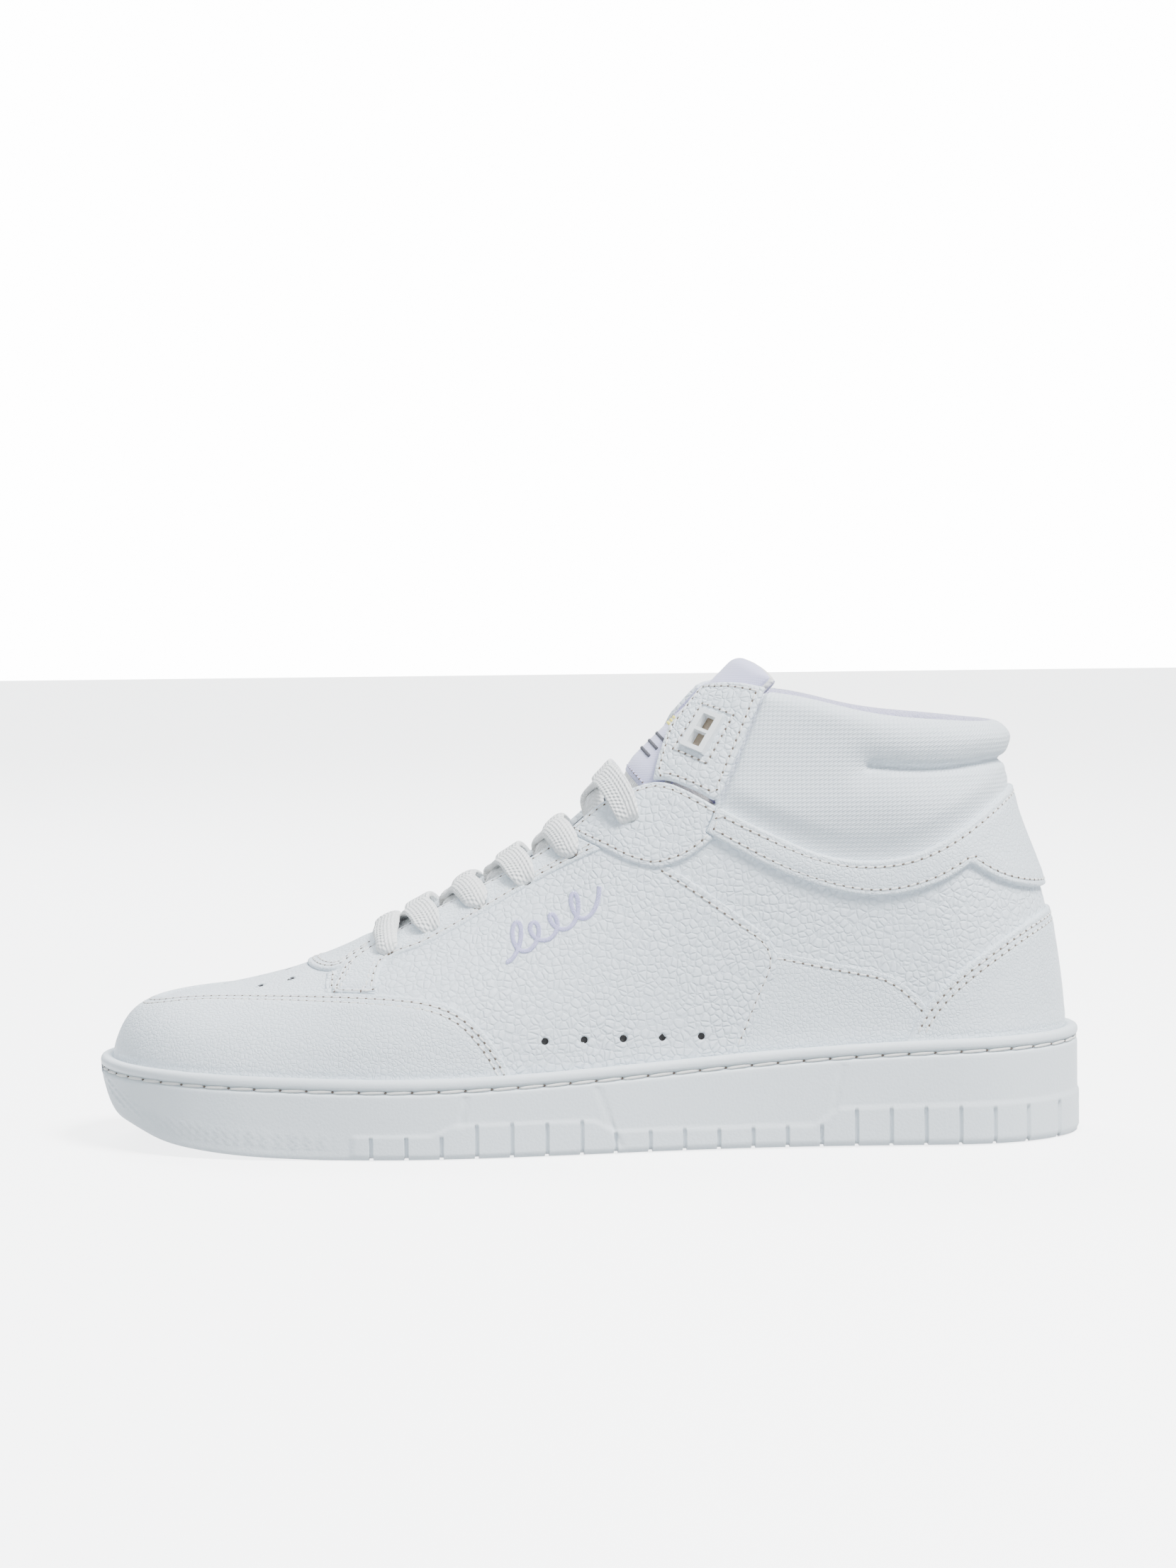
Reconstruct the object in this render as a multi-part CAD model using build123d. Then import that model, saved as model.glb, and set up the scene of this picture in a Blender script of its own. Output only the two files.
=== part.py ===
"""Padded leather basketball high top, left shoe, EU 42-43.  Millimetres, +Z up.

+X points to the heel and -Y to the outer (lateral) side.  The ground is z = 0.
The upper is a stack of thin layers on one smooth last: every layer lies between
two offsets of the last, and every panel is a layer cut by its pattern outline.
"""
import os

import numpy as np
from build123d import *

# ---------------------------------------------------------------- driving sizes
TOE_X, HEEL_X = -150.0, 150.0       # ends of the sole
LIP = 4.0                           # thickness of the cupsole wall beside the upper
SEAT = 20.0                         # height where the upper is widest
ANKLE_HALF = 33.5                   # half width of the ankle
LAST_TOP = 152.0
TOE_ROUND, HEEL_ROUND = 55.0, 45.0  # length of the round ends, seen from above

LEATHER = 1.3                       # overlays
BASE = 1.5                          # base panels
LINING = 2.0                        # padded lining under the base panels
STIFF = 1.0                         # toe puff and heel stiffener
TEXTILE = 1.2                       # collar canvas
COLLAR_FOAM = 6.4
TERRY = 1.2
FLAP = 2.0
EYELET_R = 2.5
PERF_R = 1.0                        # perforations of the quarter and the vamp

TREAD = 2.3                         # depth of the tread slots
SLOT = 1.2                          # width of the tread and sidewall slots
SLOT_IN = 0.7                       # depth of the sidewall slots
FLOOR = 5.0                         # rubber under the midsole

LACE_W, LACE_T = 8.0, 1.5           # flat lace
UNDER = -4.7                        # depth of the lace under the eyestay
CROSSING = 0.85                     # each half of the lace is this far from mid-depth where they cross
OVER = LEATHER + 1.1                # height of the lace over the eyestay
TONGUE_TOP = -5.9                   # tongue face under the laces
TONGUE_HALF = 26.0                  # half width under the laces
TONGUE_TOP_HALF = 18.6              # half width past the fold
LABEL = 0.6                         # satin label
SEAM = 0.02                         # air between the tongue's glued layers

# profile of the instep from the toe to above the ankle (x, z)
RIDGE = [(-145.2, 2), (-145.2, 24), (-143.6, 31.5), (-139.5, 38), (-133.5, 42), (-125, 44.7),
         (-110, 47.6), (-97, 50.6), (-84, 54.4), (-70, 60), (-50, 70), (-25, 84), (-10, 94),
         (7.2, 111.3), (24.2, 127.6), (37.2, 139.8), (52, 154), (90, 195), (130, 250)]
# profile of the heel (x, z)
HEEL = [(144.4, 2), (145, 24), (144.8, 38), (143.6, 50), (141.8, 62), (137.6, 79),
        (130.8, 97), (128.6, 106), (128.2, 118), (127.4, 130), (126.5, 156)]
# half width of the sole and its centre line (x, y)
HALF = [(-150, 47), (-95, 47.8), (-60, 51.3), (-20, 46), (10, 40.5), (40, 37.3), (70, 36.8),
        (100, 37.8), (150, 38)]
MIDDLE = [(-150, 8), (-128, 3.8), (-110, 1.2), (-90, -0.4), (-65, -1.4), (-40, -2.8), (-10, -4),
          (15, -3.8), (45, -2.6), (75, -1.2), (110, -0.4), (150, 0)]
# how square the instep's cross-section is (x, exponent)
FULLNESS = [(-150, 2.4), (-95, 2.4), (-60, 3.0), (-20, 3.3), (20, 3.5), (60, 5), (100, 6), (150, 6)]

# heights along the sole (x, z)
LIP_TOP = [(-150, 26), (-120, 25.2), (-90, 24.3), (-50, 23.8), (-20, 24.6), (10, 26.2), (50, 29),
           (100, 31.6), (150, 32.6)]
FOOTBED = [(-150, 20), (-125, 16), (-100, 14), (-50, 13), (0, 15), (60, 19), (150, 20.5)]
SPRING = [(-150, 23), (-146, 13.5), (-140, 8.5), (-130, 4.5), (-120, 2.5), (-110, 1.4), (-97, 0.5),
          (-80, 0)]
BOARD, SOCK = 1.5, 4.0              # lasting board, sockliner
SOCK_HINGE_X = -134.0               # the sockliner lifts by the heel about this line
SOCK_LIFT_SLOPE = 0.1051            # slope that its edge leaves room for, over the joint's own 3 degrees

# tread slots: x of each slot and how far it runs up the sidewall
FRONT_SLOTS = [(-66 + 10.4 * i, 6.2 if i < 3 else 9.7) for i in range(7)]
WAIST_SLOTS = [(6.5 + 10.3 * i, 6.0) for i in range(7)]
HEEL_SLOTS = [(78.8 + 10.4 * i, 11.0) for i in range(7)]

# ---------------------------------------------------------------- pattern outlines (x, z)
MUDGUARD_EDGE = [(-160, 36), (-133, 42.6), (-122, 44.4), (-110, 45.4), (-90, 46.6), (-70, 47.4),
                 (-58, 47.3), (-50, 46.6), (-43, 44.8), (-37, 41.5), (-32, 36.5), (-27.5, 30),
                 (-23.5, 22)]
EYESTAY_FRONT = [(-72.5, 57.5), (-74.8, 53), (-76.5, 50), (-78.5, 46)]
EYESTAY_EDGE = [(-64.5, 46), (-63.6, 51), (-62.2, 55), (-59.5, 57.2), (-52, 60), (-45, 63.2),
                (-29, 72), (-10, 82.6), (7.5, 91)]
ANKLE_LOW = [(-12, 98), (-4, 93), (5, 89), (13, 85.4), (20, 84)]
ANKLE_REAR = [(20, 84), (28, 86.5), (36, 92), (43, 98.5)]
ANKLE_TOP = [(5, 102.5), (11.7, 106), (16, 107.8), (20, 108.9), (24, 108.7), (28, 107.3),
             (33, 104.8), (38.5, 101.6), (43, 98.5)]
QUARTER_REAR = [(21, 86), (28, 81.5), (40, 73), (48, 67), (54.5, 60.5), (55.6, 55), (53, 47.5),
                (48.3, 36.4), (41, 20)]
FOXING_TOP = [(55.5, 58.6), (70, 55.4), (80, 53.4), (89, 51), (95, 47), (103, 38)]
COUNTER_EDGE = [(89, 22), (93.9, 31), (99.4, 40.6), (107.5, 49.6), (118.8, 58), (134.4, 66.5),
                (150, 71)]
BAND_TOP = [(38.1, 102.2), (45, 98.5), (55, 93.6), (65, 89.1), (75, 86.3), (85, 85.6), (95, 86.8),
            (105, 90.6), (116, 97.4), (122, 101.6), (140, 113)]
BAND_LOW = [(34.5, 94.5), (45, 88.6), (60, 81.1), (70, 77.6), (80, 75.3), (88, 74.9), (97, 76.3),
            (105, 79), (113.9, 83.9)]
BAND_TAB = [(113.9, 83.9), (121, 79.5), (131, 76), (150, 74)]
RIM = [(53.6, 137), (60, 136), (71, 133.3), (81, 130.6), (91, 128.8), (106, 127.4), (120, 126.4),
       (140, 125.8)]
FOAM_TOP = (55.6, 136.75)           # front corner of the collar foam, just behind the flap's seam
FLAP_FRONT = [(19.3, 109.6), (20.3, 113.6), (22.2, 119), (25, 125.5), (28.5, 131.5), (32.5, 135.8),
              (37, 137.9)]
FLAP_TOP = [(37, 137.9), (42, 138.6), (48, 138.3), (52.0, 137.6)]
FLAP_SEAM = [(53.6, 137.2), (38.9, 102.4)]
FLAP_FOOT = [(38.6, 103.2), (33, 106.2), (27, 108.8), (23, 109.9), (19.3, 109.9)]
THROAT = [(-74.5, 21.5), (-70, 18), (-65, 15.5), (-55, 13.3), (-35, 12.5), (-15, 13), (0, 14.5),
          (14, 18.5), (24, 23)]     # half width of the throat (x, y)
TONGUE_TOE = -86.0                  # front of the tongue base
EYELETS = [(-60.3, 24), (-47.2, 22), (-33, 20.7), (-18.8, 20), (-5.1, 20.5), (12.5, 23.5)]  # (x, y)
QUARTER_HOLES = [(-14.3 + 11.7 * i, 33.8) for i in range(5)]
VAMP_HOLES = [(-111, 0), (-101.5, 0), (-92, 0), (-100, -14), (-100, 14), (-90.5, -15), (-90.5, 15)]

FRAME_AT, FRAME_LEAN = (34.9, 123.7), 22.0   # eyelet frame: centre and lean from upright, degrees
FRAME_W, FRAME_H, FRAME_T = 8.6, 13.0, 3.4
WINDOW = 4.6                        # side of its two square windows

HINGE = (9.0, 113.0)                # line across the tongue where its top folds (x, z)
TONGUE_LEAN = 43.5                  # slope of the tongue top, degrees
GAP = 0.9                           # air between the flaps and the tongue under them
SEAM_GAP = 1.4                      # air between a flap and the collar, so that it can turn

# ---------------------------------------------------------------- curves


def smooth_curve(points):
    """Natural cubic spline y(x) through the points."""
    x, y = np.array(points, float).T
    n = len(x)
    h = np.diff(x)
    a = np.eye(n)
    r = np.zeros(n)
    for i in range(1, n - 1):
        a[i, i - 1:i + 2] = h[i - 1], 2 * (h[i - 1] + h[i]), h[i]
        r[i] = 6 * ((y[i + 1] - y[i]) / h[i] - (y[i] - y[i - 1]) / h[i - 1])
    m = np.linalg.solve(a, r)

    def value(t):
        t = np.clip(np.asarray(t, float), x[0], x[-1])
        i = np.clip(np.searchsorted(x, t) - 1, 0, n - 2)
        u, v = x[i + 1] - t, t - x[i]
        cubic = (m[i] * u ** 3 + m[i + 1] * v ** 3) / (6 * h[i])
        return cubic + (y[i] / h[i] - m[i] * h[i] / 6) * u + (y[i + 1] / h[i] - m[i + 1] * h[i] / 6) * v

    return value


def offset_profile(points, distance, count=3000):
    """Dense copy of a smooth profile, moved sideways by distance."""
    p = np.array(points, float)
    s = np.append(0, np.cumsum(np.hypot(*np.diff(p, axis=0).T)))
    t = np.linspace(0, s[-1], count)
    q = np.column_stack([smooth_curve(np.column_stack([s, p[:, k]]))(t) for k in (0, 1)])
    d = np.gradient(q, axis=0)
    normal = np.column_stack([-d[:, 1], d[:, 0]]) / np.hypot(*d.T)[:, None]
    return q + distance * normal


half_width, sole_middle, fullness = smooth_curve(HALF), smooth_curve(MIDDLE), smooth_curve(FULLNESS)
lip_top, footbed = smooth_curve(LIP_TOP), smooth_curve(FOOTBED)
BALL_X = np.linspace(-90, -30, 121)  # the sole is widest here, and is centred on y = 0 there
OFF_CENTRE = 0.5 * ((sole_middle(BALL_X) + half_width(BALL_X)).max()
                    + (sole_middle(BALL_X) - half_width(BALL_X)).min())


def middle(x):
    return sole_middle(x) - OFF_CENTRE


def smoothstep(t):
    t = np.clip(t, 0, 1)
    return t * t * (3 - 2 * t)


class Last:
    """The foot-shaped form, offset outwards by d."""

    def __init__(self, d=0.0):
        self.d = d
        self.ridge = offset_profile(RIDGE, d)
        self.heel = offset_profile(HEEL, -d)
        self.tip = self.ridge[:, 0].min()

    def front(self, z):
        return float(np.interp(z, self.ridge[:, 1], self.ridge[:, 0]))

    def back(self, z):
        return np.interp(z, self.heel[:, 1], self.heel[:, 0])

    def girth(self, x, z):
        """Half width before the instep closes it."""
        low = half_width(x) - LIP
        wide = low + (ANKLE_HALF - low) * smoothstep((z - 28) / 64) + self.d
        toe = np.clip((TOE_X + TOE_ROUND - x) / (TOE_X + TOE_ROUND - self.tip), 0, 1)
        end = self.back(z)
        heel = np.clip((x - end + HEEL_ROUND - 2) / (HEEL_ROUND - 2), 0, 1)
        return wide * np.sqrt(1 - toe ** 2.3) * np.sqrt(1 - heel ** 2.3)

    def half(self, x, z):
        """Half width of the last at x and height z."""
        top = np.interp(x, self.ridge[:, 0], self.ridge[:, 1])
        t = np.clip((z - SEAT) / np.maximum(top - SEAT, 1e-6), 0, 1)
        return self.girth(x, z) * np.sqrt(1 - t ** fullness(x))

    def height(self, x, y):
        """Height of the instep over the plan point (x, y)."""
        top = float(np.interp(x, self.ridge[:, 0], self.ridge[:, 1]))
        z = top
        for _ in range(40):
            share = min(abs(y - float(middle(x))) / float(self.girth(x, z)), 0.999)
            z = 0.5 * z + 0.5 * (SEAT + (top - SEAT) * (1 - share ** 2) ** (1 / float(fullness(x))))
        return z

    def ring(self, z, count=27):
        """Closed outline of the last at height z."""
        a, b = self.front(z), float(self.back(z))
        turn = np.linspace(0, np.pi, count)
        x = (a + b) / 2 - (b - a) / 2 * np.cos(turn)
        w = self.half(x, z)
        w[0] = w[-1] = 0
        lateral = [(x[i], middle(x[i]) - w[i], z) for i in range(count)]
        medial = [(x[i], middle(x[i]) + w[i], z) for i in range(count - 2, 0, -1)]
        return Wire([Edge.make_spline([Vector(*map(float, p)) for p in lateral + medial], periodic=True,
                                      parameters=list(np.linspace(0, 1, 2 * count - 1)))])


LEVELS = [4, 12, 18, 23, 27, 31, 35, 38.5, 41, 43, 44.5, 46, 47.5, 49, 51, 53.5, 56.5, 60, 64, 69,
          75, 82, 90, 98, 106, 115, 124, 133, 142, LAST_TOP]


def last_solid(d, low=4.0, high=LAST_TOP):
    form = Last(d)
    levels = [low] + [z for z in LEVELS if low + 2 < z < high - 2] + [high]
    return Solid.make_loft([form.ring(z) for z in levels])


SOLIDS = {}


def last(d, low=4.0, high=LAST_TOP):
    key = (round(d, 3), low, high)
    if key not in SOLIDS:
        SOLIDS[key] = last_solid(d, low, high)
    return SOLIDS[key]


def layer(inner, outer, region):
    """The part of the shell between two offsets of the last that lies in the region."""
    return (last(outer) & region) - last(inner, 2.0, LAST_TOP + 2)


# ---------------------------------------------------------------- pattern cutters


def run_edge(points, up):
    points = [Vector(x, 0, z) if up else Vector(x, z, 0) for x, z in points]
    return Edge.make_line(*points) if len(points) == 2 else Edge.make_spline(points)


def side_cutter(*runs, low=-90.0, high=90.0):
    """Prism along Y whose side view is bounded by smooth runs, one after the other."""
    edges = []
    for i, run in enumerate(runs):
        if edges and np.hypot(*np.subtract(runs[i - 1][-1], run[0])) > 1e-6:
            edges.append(run_edge([runs[i - 1][-1], run[0]], True))
        edges.append(run_edge(run, True))
    if np.hypot(*np.subtract(runs[-1][-1], runs[0][0])) > 1e-6:
        edges.append(run_edge([runs[-1][-1], runs[0][0]], True))
    face = Face(Wire(edges)).translate((0, low, 0))
    return Solid.extrude(face, Vector(0, high - low, 0))


def plan_cutter(points, low, high):
    """Prism along Z with a straight-sided outline (x, y)."""
    face = Face(Wire.make_polygon([Vector(x, y, low) for x, y in points], close=True))
    return Solid.extrude(face, Vector(0, 0, high - low))


def box(x0, x1, y0, y1, z0, z1):
    return Solid.make_box(x1 - x0, y1 - y0, z1 - z0, Plane((x0, y0, z0)))


def throat_cutter(extra=0.0, low=40.0, high=LAST_TOP + 4):
    """The open throat, seen from above, grown by extra."""
    halves = smooth_curve(THROAT)
    start, wide = THROAT[0]
    turn = np.linspace(0.1, np.pi / 2, 8)[:-1]
    nose = [(start - (start - TONGUE_TOE + extra) * np.cos(t), (wide + extra) * np.sin(t)) for t in turn]
    run = [(x, float(halves(x)) + extra) for x in np.linspace(start, THROAT[-1][0], 22)]
    edge = nose + run + [(60, 22)]
    near = [(x, float(middle(x)) - w) for x, w in edge]
    far = [(x, float(middle(x)) + w) for x, w in edge]
    return plan_cutter(near + far[::-1], low, high)


def sides(whole, middle_gap=0.0):
    """The lateral and medial halves of a solid, parted along the centre line."""
    line = [(x, float(middle(x))) for x in np.linspace(-160, 160, 33)]
    lateral = plan_cutter([(x, y - middle_gap) for x, y in line] + [(160, -90), (-160, -90)], 0, 160)
    medial = plan_cutter([(x, y + middle_gap) for x, y in line] + [(160, 90), (-160, 90)], 0, 160)
    return largest(whole & lateral), largest(whole & medial)


LIP_XS = (-155, -120, -90, -50, -20, 10, 50, 100, 155)


def lip_curve(drop=0.0):
    return [(x, float(lip_top(x)) - drop) for x in LIP_XS]


def above(points, top=200.0):
    return side_cutter(points, [(points[-1][0], top), (points[0][0], top)])


def below(points, bottom=-20.0):
    return side_cutter(points, [(points[-1][0], bottom), (points[0][0], bottom)])


def surface_point(x, y, d):
    """Point of the last's instep over (x, y), d outside it, with the outward normal."""
    form = BASE_LAST
    step = 0.4
    z = form.height(x, y)
    slope_x = (form.height(x + step, y) - form.height(x - step, y)) / (2 * step)
    slope_y = (form.height(x, y + step) - form.height(x, y - step)) / (2 * step)
    normal = np.array([-slope_x, -slope_y, 1.0])
    normal /= np.linalg.norm(normal)
    return np.array([x, y, z]) + d * normal, normal


BASE_LAST = Last(0.0)


def side_point(x, z, side, d=0.0):
    """Point of the last's side wall and its outward normal; side is -1 lateral, +1 medial."""
    form = BASE_LAST
    step = 0.3

    def wall(u, v):
        return float(middle(u)) + side * float(form.half(u, v))

    y = wall(x, z)
    normal = np.array([-(wall(x + step, z) - wall(x - step, z)) / (2 * step), 1.0,
                       -(wall(x, z + step) - wall(x, z - step)) / (2 * step)]) * side
    normal /= np.linalg.norm(normal)
    return np.array([x, y, z]) + d * normal, normal


def hole(point, normal, radius, reach=9.0):
    start = Vector(*(point + reach * normal))
    return Solid.make_cylinder(radius, 2 * reach, Plane(start, z_dir=Vector(*(-normal))))


def eyelet_holes():
    return [hole(*surface_point(x, float(middle(x)) + s * y, 0.0), EYELET_R)
            for x, y in EYELETS for s in (-1, 1)]


def largest(body):
    """The main solid of a cut, without slivers."""
    return max(body.solids(), key=lambda s: s.volume)


def cut_all(body, tools):
    for tool in tools:
        body = body - tool
    return body


# ---------------------------------------------------------------- sole


def sole_outline(inset=0.0):
    tip, back = TOE_X + inset, HEEL_X - inset
    x = (tip + back) / 2 - (back - tip) / 2 * np.cos(np.linspace(0, np.pi, 33))
    toe = np.clip((TOE_X + TOE_ROUND - x) / (TOE_ROUND - inset), 0, 1)
    heel = np.clip((x - HEEL_X + HEEL_ROUND) / (HEEL_ROUND - inset), 0, 1)
    w = (half_width(x) - inset) * np.sqrt(1 - toe ** 2.3) * np.sqrt(1 - heel ** 2.3)
    near = [Vector(float(x[i]), float(middle(x[i]) - w[i]), 0) for i in range(33)]
    far = [Vector(float(x[i]), float(middle(x[i]) + w[i]), 0) for i in range(31, 0, -1)]
    return Face(Wire([Edge.make_spline(near + far, periodic=True)]))


def sole_prism(inset=0.0, low=0.0, high=40.0):
    return Solid.extrude(sole_outline(inset).translate((0, 0, low)), Vector(0, 0, high - low))


def lip_band(low, high):
    """Side-view band between two distances under the lip."""
    return side_cutter(lip_curve(low), lip_curve(high)[::-1])


def spring_curve(lift=0.0):
    return [(x, z + lift) for x, z in SPRING] + [(-40, lift), (170, lift)]


def above_spring(lift=0.0):
    curve = [(-152, SPRING[0][1] + 6 + lift)] + spring_curve(lift)
    return side_cutter(curve[:-2], [curve[-3], curve[-1]], [(170, 200), (-152, 200)])


def cupsole():
    body = sole_prism() & below(lip_curve()) & above_spring()
    body = body - (last(0.0) & above_spring(FLOOR) & box(-160, 160, -90, 90, FLOOR, 60))
    for x, top in FRONT_SLOTS + WAIST_SLOTS + HEEL_SLOTS:
        slab = box(x - SLOT / 2, x + SLOT / 2, -90, 90, -1, top)
        body = body - (slab - sole_prism(SLOT_IN, -2, 60))
        body = body - box(x - SLOT / 2, x + SLOT / 2, -90, 90, -1, TREAD)
    ring = (sole_prism(-1) - sole_prism(1.1, -1, 41)) & lip_band(4.6, 3.2)
    return body - ring


def sole_stitching():
    """Lockstitch thread lying in the groove under the lip."""
    return (sole_prism(0.25) - sole_prism(1.1, -1, 41)) & lip_band(4.2, 3.6)


def floor_slab(low, high):
    xs = (-160, -125, -100, -50, 0, 60, 160)
    lower = [(x, float(footbed(x)) + low) for x in xs]
    upper = [(x, float(footbed(x)) + high) for x in xs]
    return side_cutter(lower, upper[::-1])


def foam_midsole():
    inside = last(0.0) & above_spring(FLOOR) & box(-160, 160, -90, 90, FLOOR, 60)
    return inside & floor_slab(-40, 0)


def lasting_board():
    return last(-BASE - LINING) & floor_slab(0, BOARD)


def sockliner():
    """Loose insole; its edge leaves room to lift by the heel."""
    low, high = BOARD + 0.3, BOARD + 0.3 + SOCK
    form = Last(-BASE - LINING - 0.8)
    xs = -0.5 - 137.5 * np.cos(np.linspace(0, np.pi, 25))
    xs = xs[1:-1] - 0.5
    rise = SOCK_LIFT_SLOPE * (xs - SOCK_HINGE_X)
    tops = footbed(xs) + high + rise
    w = np.array([min(float(form.half(x, z)), float(form.half(x, z - r))) for x, z, r in zip(xs, tops, rise)])
    near = [Vector(float(x), float(middle(x)) - float(h), 0) for x, h in zip(xs, w)]
    far = [Vector(float(x), float(middle(x)) + float(h), 0) for x, h in zip(xs, w)]
    tip = Vector(-138.5, float(middle(-138.5)), 0)
    heel = Vector(138.0, 0, 0)
    outline = Wire([Edge.make_spline([tip] + near + [heel] + far[::-1], periodic=True)])
    return Solid.extrude(Face(outline), Vector(0, 0, 80)) & floor_slab(low, high)


# ---------------------------------------------------------------- upper


def upper_layer(inner, outer, region):
    """Layer of the upper that stands on the midsole."""
    return layer(inner, outer, region & floor_slab(0, 200))


def rim_cutter():
    """Everything under the collar's rim and the ankle's front edge."""
    return side_cutter([(-170, -10), (-170, 140), (10, 140)], [(10, 140), (14, 106.4)],
                       ANKLE_TOP[2:], [ANKLE_TOP[-1], (170, 98.5)], [(170, 98.5), (170, -10)])


def base_panels():
    """Vamp, quarters, rear quarters and foxings: they meet edge to edge."""
    low_top = side_cutter([(-170, -10), (-170, 150), (4, 150)], [(4, 150), ANKLE_TOP[1]],
                          ANKLE_TOP[1:], [ANKLE_TOP[-1], BAND_TOP[1]], BAND_TOP[1:], [(140, 113), (170, 113)],
                          [(170, 113), (170, -10)])
    shell = upper_layer(-BASE, 0.0, low_top - throat_cutter())
    front = side_cutter([(-170, -10), (-170, 150)], [(-170, 150), (-72, 150)], [(-72, 150), (-76, 50)],
                        [(-76, 50), (-80, -10)])
    rear = side_cutter([(21, 200), QUARTER_REAR[0]], QUARTER_REAR, [QUARTER_REAR[-1], (41, -10)],
                       [(41, -10), (170, -10)], [(170, -10), (170, 200)])
    fox = side_cutter([(41, -10), QUARTER_REAR[-1]], QUARTER_REAR[:4:-1] + [FOXING_TOP[0]],
                      FOXING_TOP, [FOXING_TOP[-1], (170, 38)], [(170, 38), (170, -10)])
    holes = eyelet_holes()
    vamp_holes = [hole(*surface_point(x, float(middle(x)) + y, 0.0), PERF_R, 3.0) for x, y in VAMP_HOLES]
    parts = {"vamp": cut_all(shell & front, vamp_holes)}
    quarter_holes = [hole(*side_point(x, z, s), PERF_R, 3.0) for x, z in QUARTER_HOLES for s in (-1, 1)]
    body = shell - front
    quarters = cut_all(body - rear, holes + quarter_holes)
    parts["quarter_lateral"], parts["quarter_medial"] = sides(quarters)
    parts["rear_quarter_lateral"], parts["rear_quarter_medial"] = sides((body & rear) - fox)
    parts["foxing_lateral"], parts["foxing_medial"] = sides(body & rear & fox)
    return parts


def band_region():
    return side_cutter(BAND_TOP, [(140, 113), (150, 113)], [(150, 113), (150, 74)], BAND_TAB[::-1],
                       BAND_LOW[::-1], [BAND_LOW[0], BAND_TOP[0]])


def overlays():
    """Leather pieces stitched on top of the base panels."""
    mudguard = below(MUDGUARD_EDGE)
    lip = above(lip_curve())
    parts = {"toe_mudguard": layer(0.0, LEATHER, mudguard & lip)}
    counter = side_cutter(COUNTER_EDGE, [(150, 71), (150, 22)], [(150, 22), (89, 22)])
    parts["heel_counter_cover"] = layer(0.0, LEATHER, counter & lip)
    band = band_region()
    parts["collar_band"] = layer(0.0, LEATHER, band)
    eyestay = side_cutter(EYESTAY_FRONT[::-1], [EYESTAY_FRONT[0], (-72.5, 130)], [(-72.5, 130), (-12, 130)],
                          [(-12, 130), (12, 84)], [(12, 84), EYESTAY_EDGE[-1]], EYESTAY_EDGE[::-1])
    ankle = side_cutter(ANKLE_LOW, ANKLE_REAR, ANKLE_TOP[::-1], [ANKLE_TOP[0], ANKLE_LOW[0]])
    throat = throat_cutter()
    holes = eyelet_holes()
    stay = layer(0.0, LEATHER, (eyestay - throat) - mudguard - ankle)
    parts["eyestay_lateral"], parts["eyestay_medial"] = sides(cut_all(stay, holes))
    panel = layer(0.0, LEATHER, (ankle - throat) - band)
    parts["ankle_panel_lateral"], parts["ankle_panel_medial"] = sides(cut_all(panel, holes))
    return parts


def linings():
    """Padded lining with the toe puff and heel stiffener let into it."""
    region = side_cutter([(-170, -10), (-170, 150), (4, 150)], [(4, 150), ANKLE_TOP[1]],
                         ANKLE_TOP[1:], [ANKLE_TOP[-1], (60, 88)], [(60, 88), (85, 82.5)],
                         [(85, 82.5), (110, 88)], [(110, 88), (170, 100)], [(170, 100), (170, -10)])
    lining = upper_layer(-BASE - LINING, -BASE, region - throat_cutter(0.5))
    toe = side_cutter([(-170, -10), (-170, 60)], [(-170, 60), (-116, 60)], [(-116, 60), (-108, -10)])
    heel = side_cutter([(72, -10), (78, 45), (105, 68), (160, 74)], [(160, 74), (160, -10)])
    for region in (toe, heel):
        lining = lining - layer(-BASE - STIFF, 0.0, region)
    return {"upper_lining": cut_all(lining, eyelet_holes()),
            "toe_puff": upper_layer(-BASE - STIFF, -BASE, toe),
            "heel_stiffener": upper_layer(-BASE - STIFF, -BASE, heel)}


def collar():
    """Padded textile collar behind the ankle flaps."""
    seam_top = FLAP_SEAM[0]
    region = side_cutter([seam_top, (39.6, 102.2)], [(39.6, 102.2), BAND_TOP[1]], BAND_TOP[1:],
                         [BAND_TOP[-1], (160, 113)], [(160, 113), (160, 125.6)],
                         [(160, 125.6), RIM[-1]], RIM[::-1])
    foam_region = side_cutter([FOAM_TOP, (41.3, 104)], [(41.3, 104), (46, 98)], [(46, 98), (62, 90)],
                              [(62, 90), (85, 84)], [(85, 84), (110, 89)], [(110, 89), (160, 103)],
                              [(160, 103), (160, 125.6)], [(160, 125.6), RIM[-1]],
                              RIM[:0:-1] + [FOAM_TOP])
    region = region - band_region()
    canvas_in = 0.3 - TEXTILE
    foam_in = canvas_in - COLLAR_FOAM
    skin = layer(canvas_in, 0.3, region)
    behind_canvas = layer(foam_in, canvas_in, foam_region & region)
    behind_leather = layer(foam_in, -BASE - LINING, foam_region - region)
    terry = layer(foam_in - TERRY, foam_in, foam_region)
    return {"collar_canvas": skin, "collar_foam": behind_canvas + behind_leather, "collar_terry": terry}


# ---------------------------------------------------------------- ankle flaps


def flap_region():
    seam_top = (FLAP_SEAM[0][0] - SEAM_GAP, FLAP_SEAM[0][1])
    seam_low = (FLAP_SEAM[1][0] - SEAM_GAP, FLAP_FOOT[0][1])
    return side_cutter(FLAP_FRONT, FLAP_TOP, [FLAP_TOP[-1], seam_top], [seam_top, seam_low],
                       [seam_low, FLAP_FOOT[1]], FLAP_FOOT[1:-1], [FLAP_FOOT[-2], FLAP_FRONT[0]])


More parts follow.
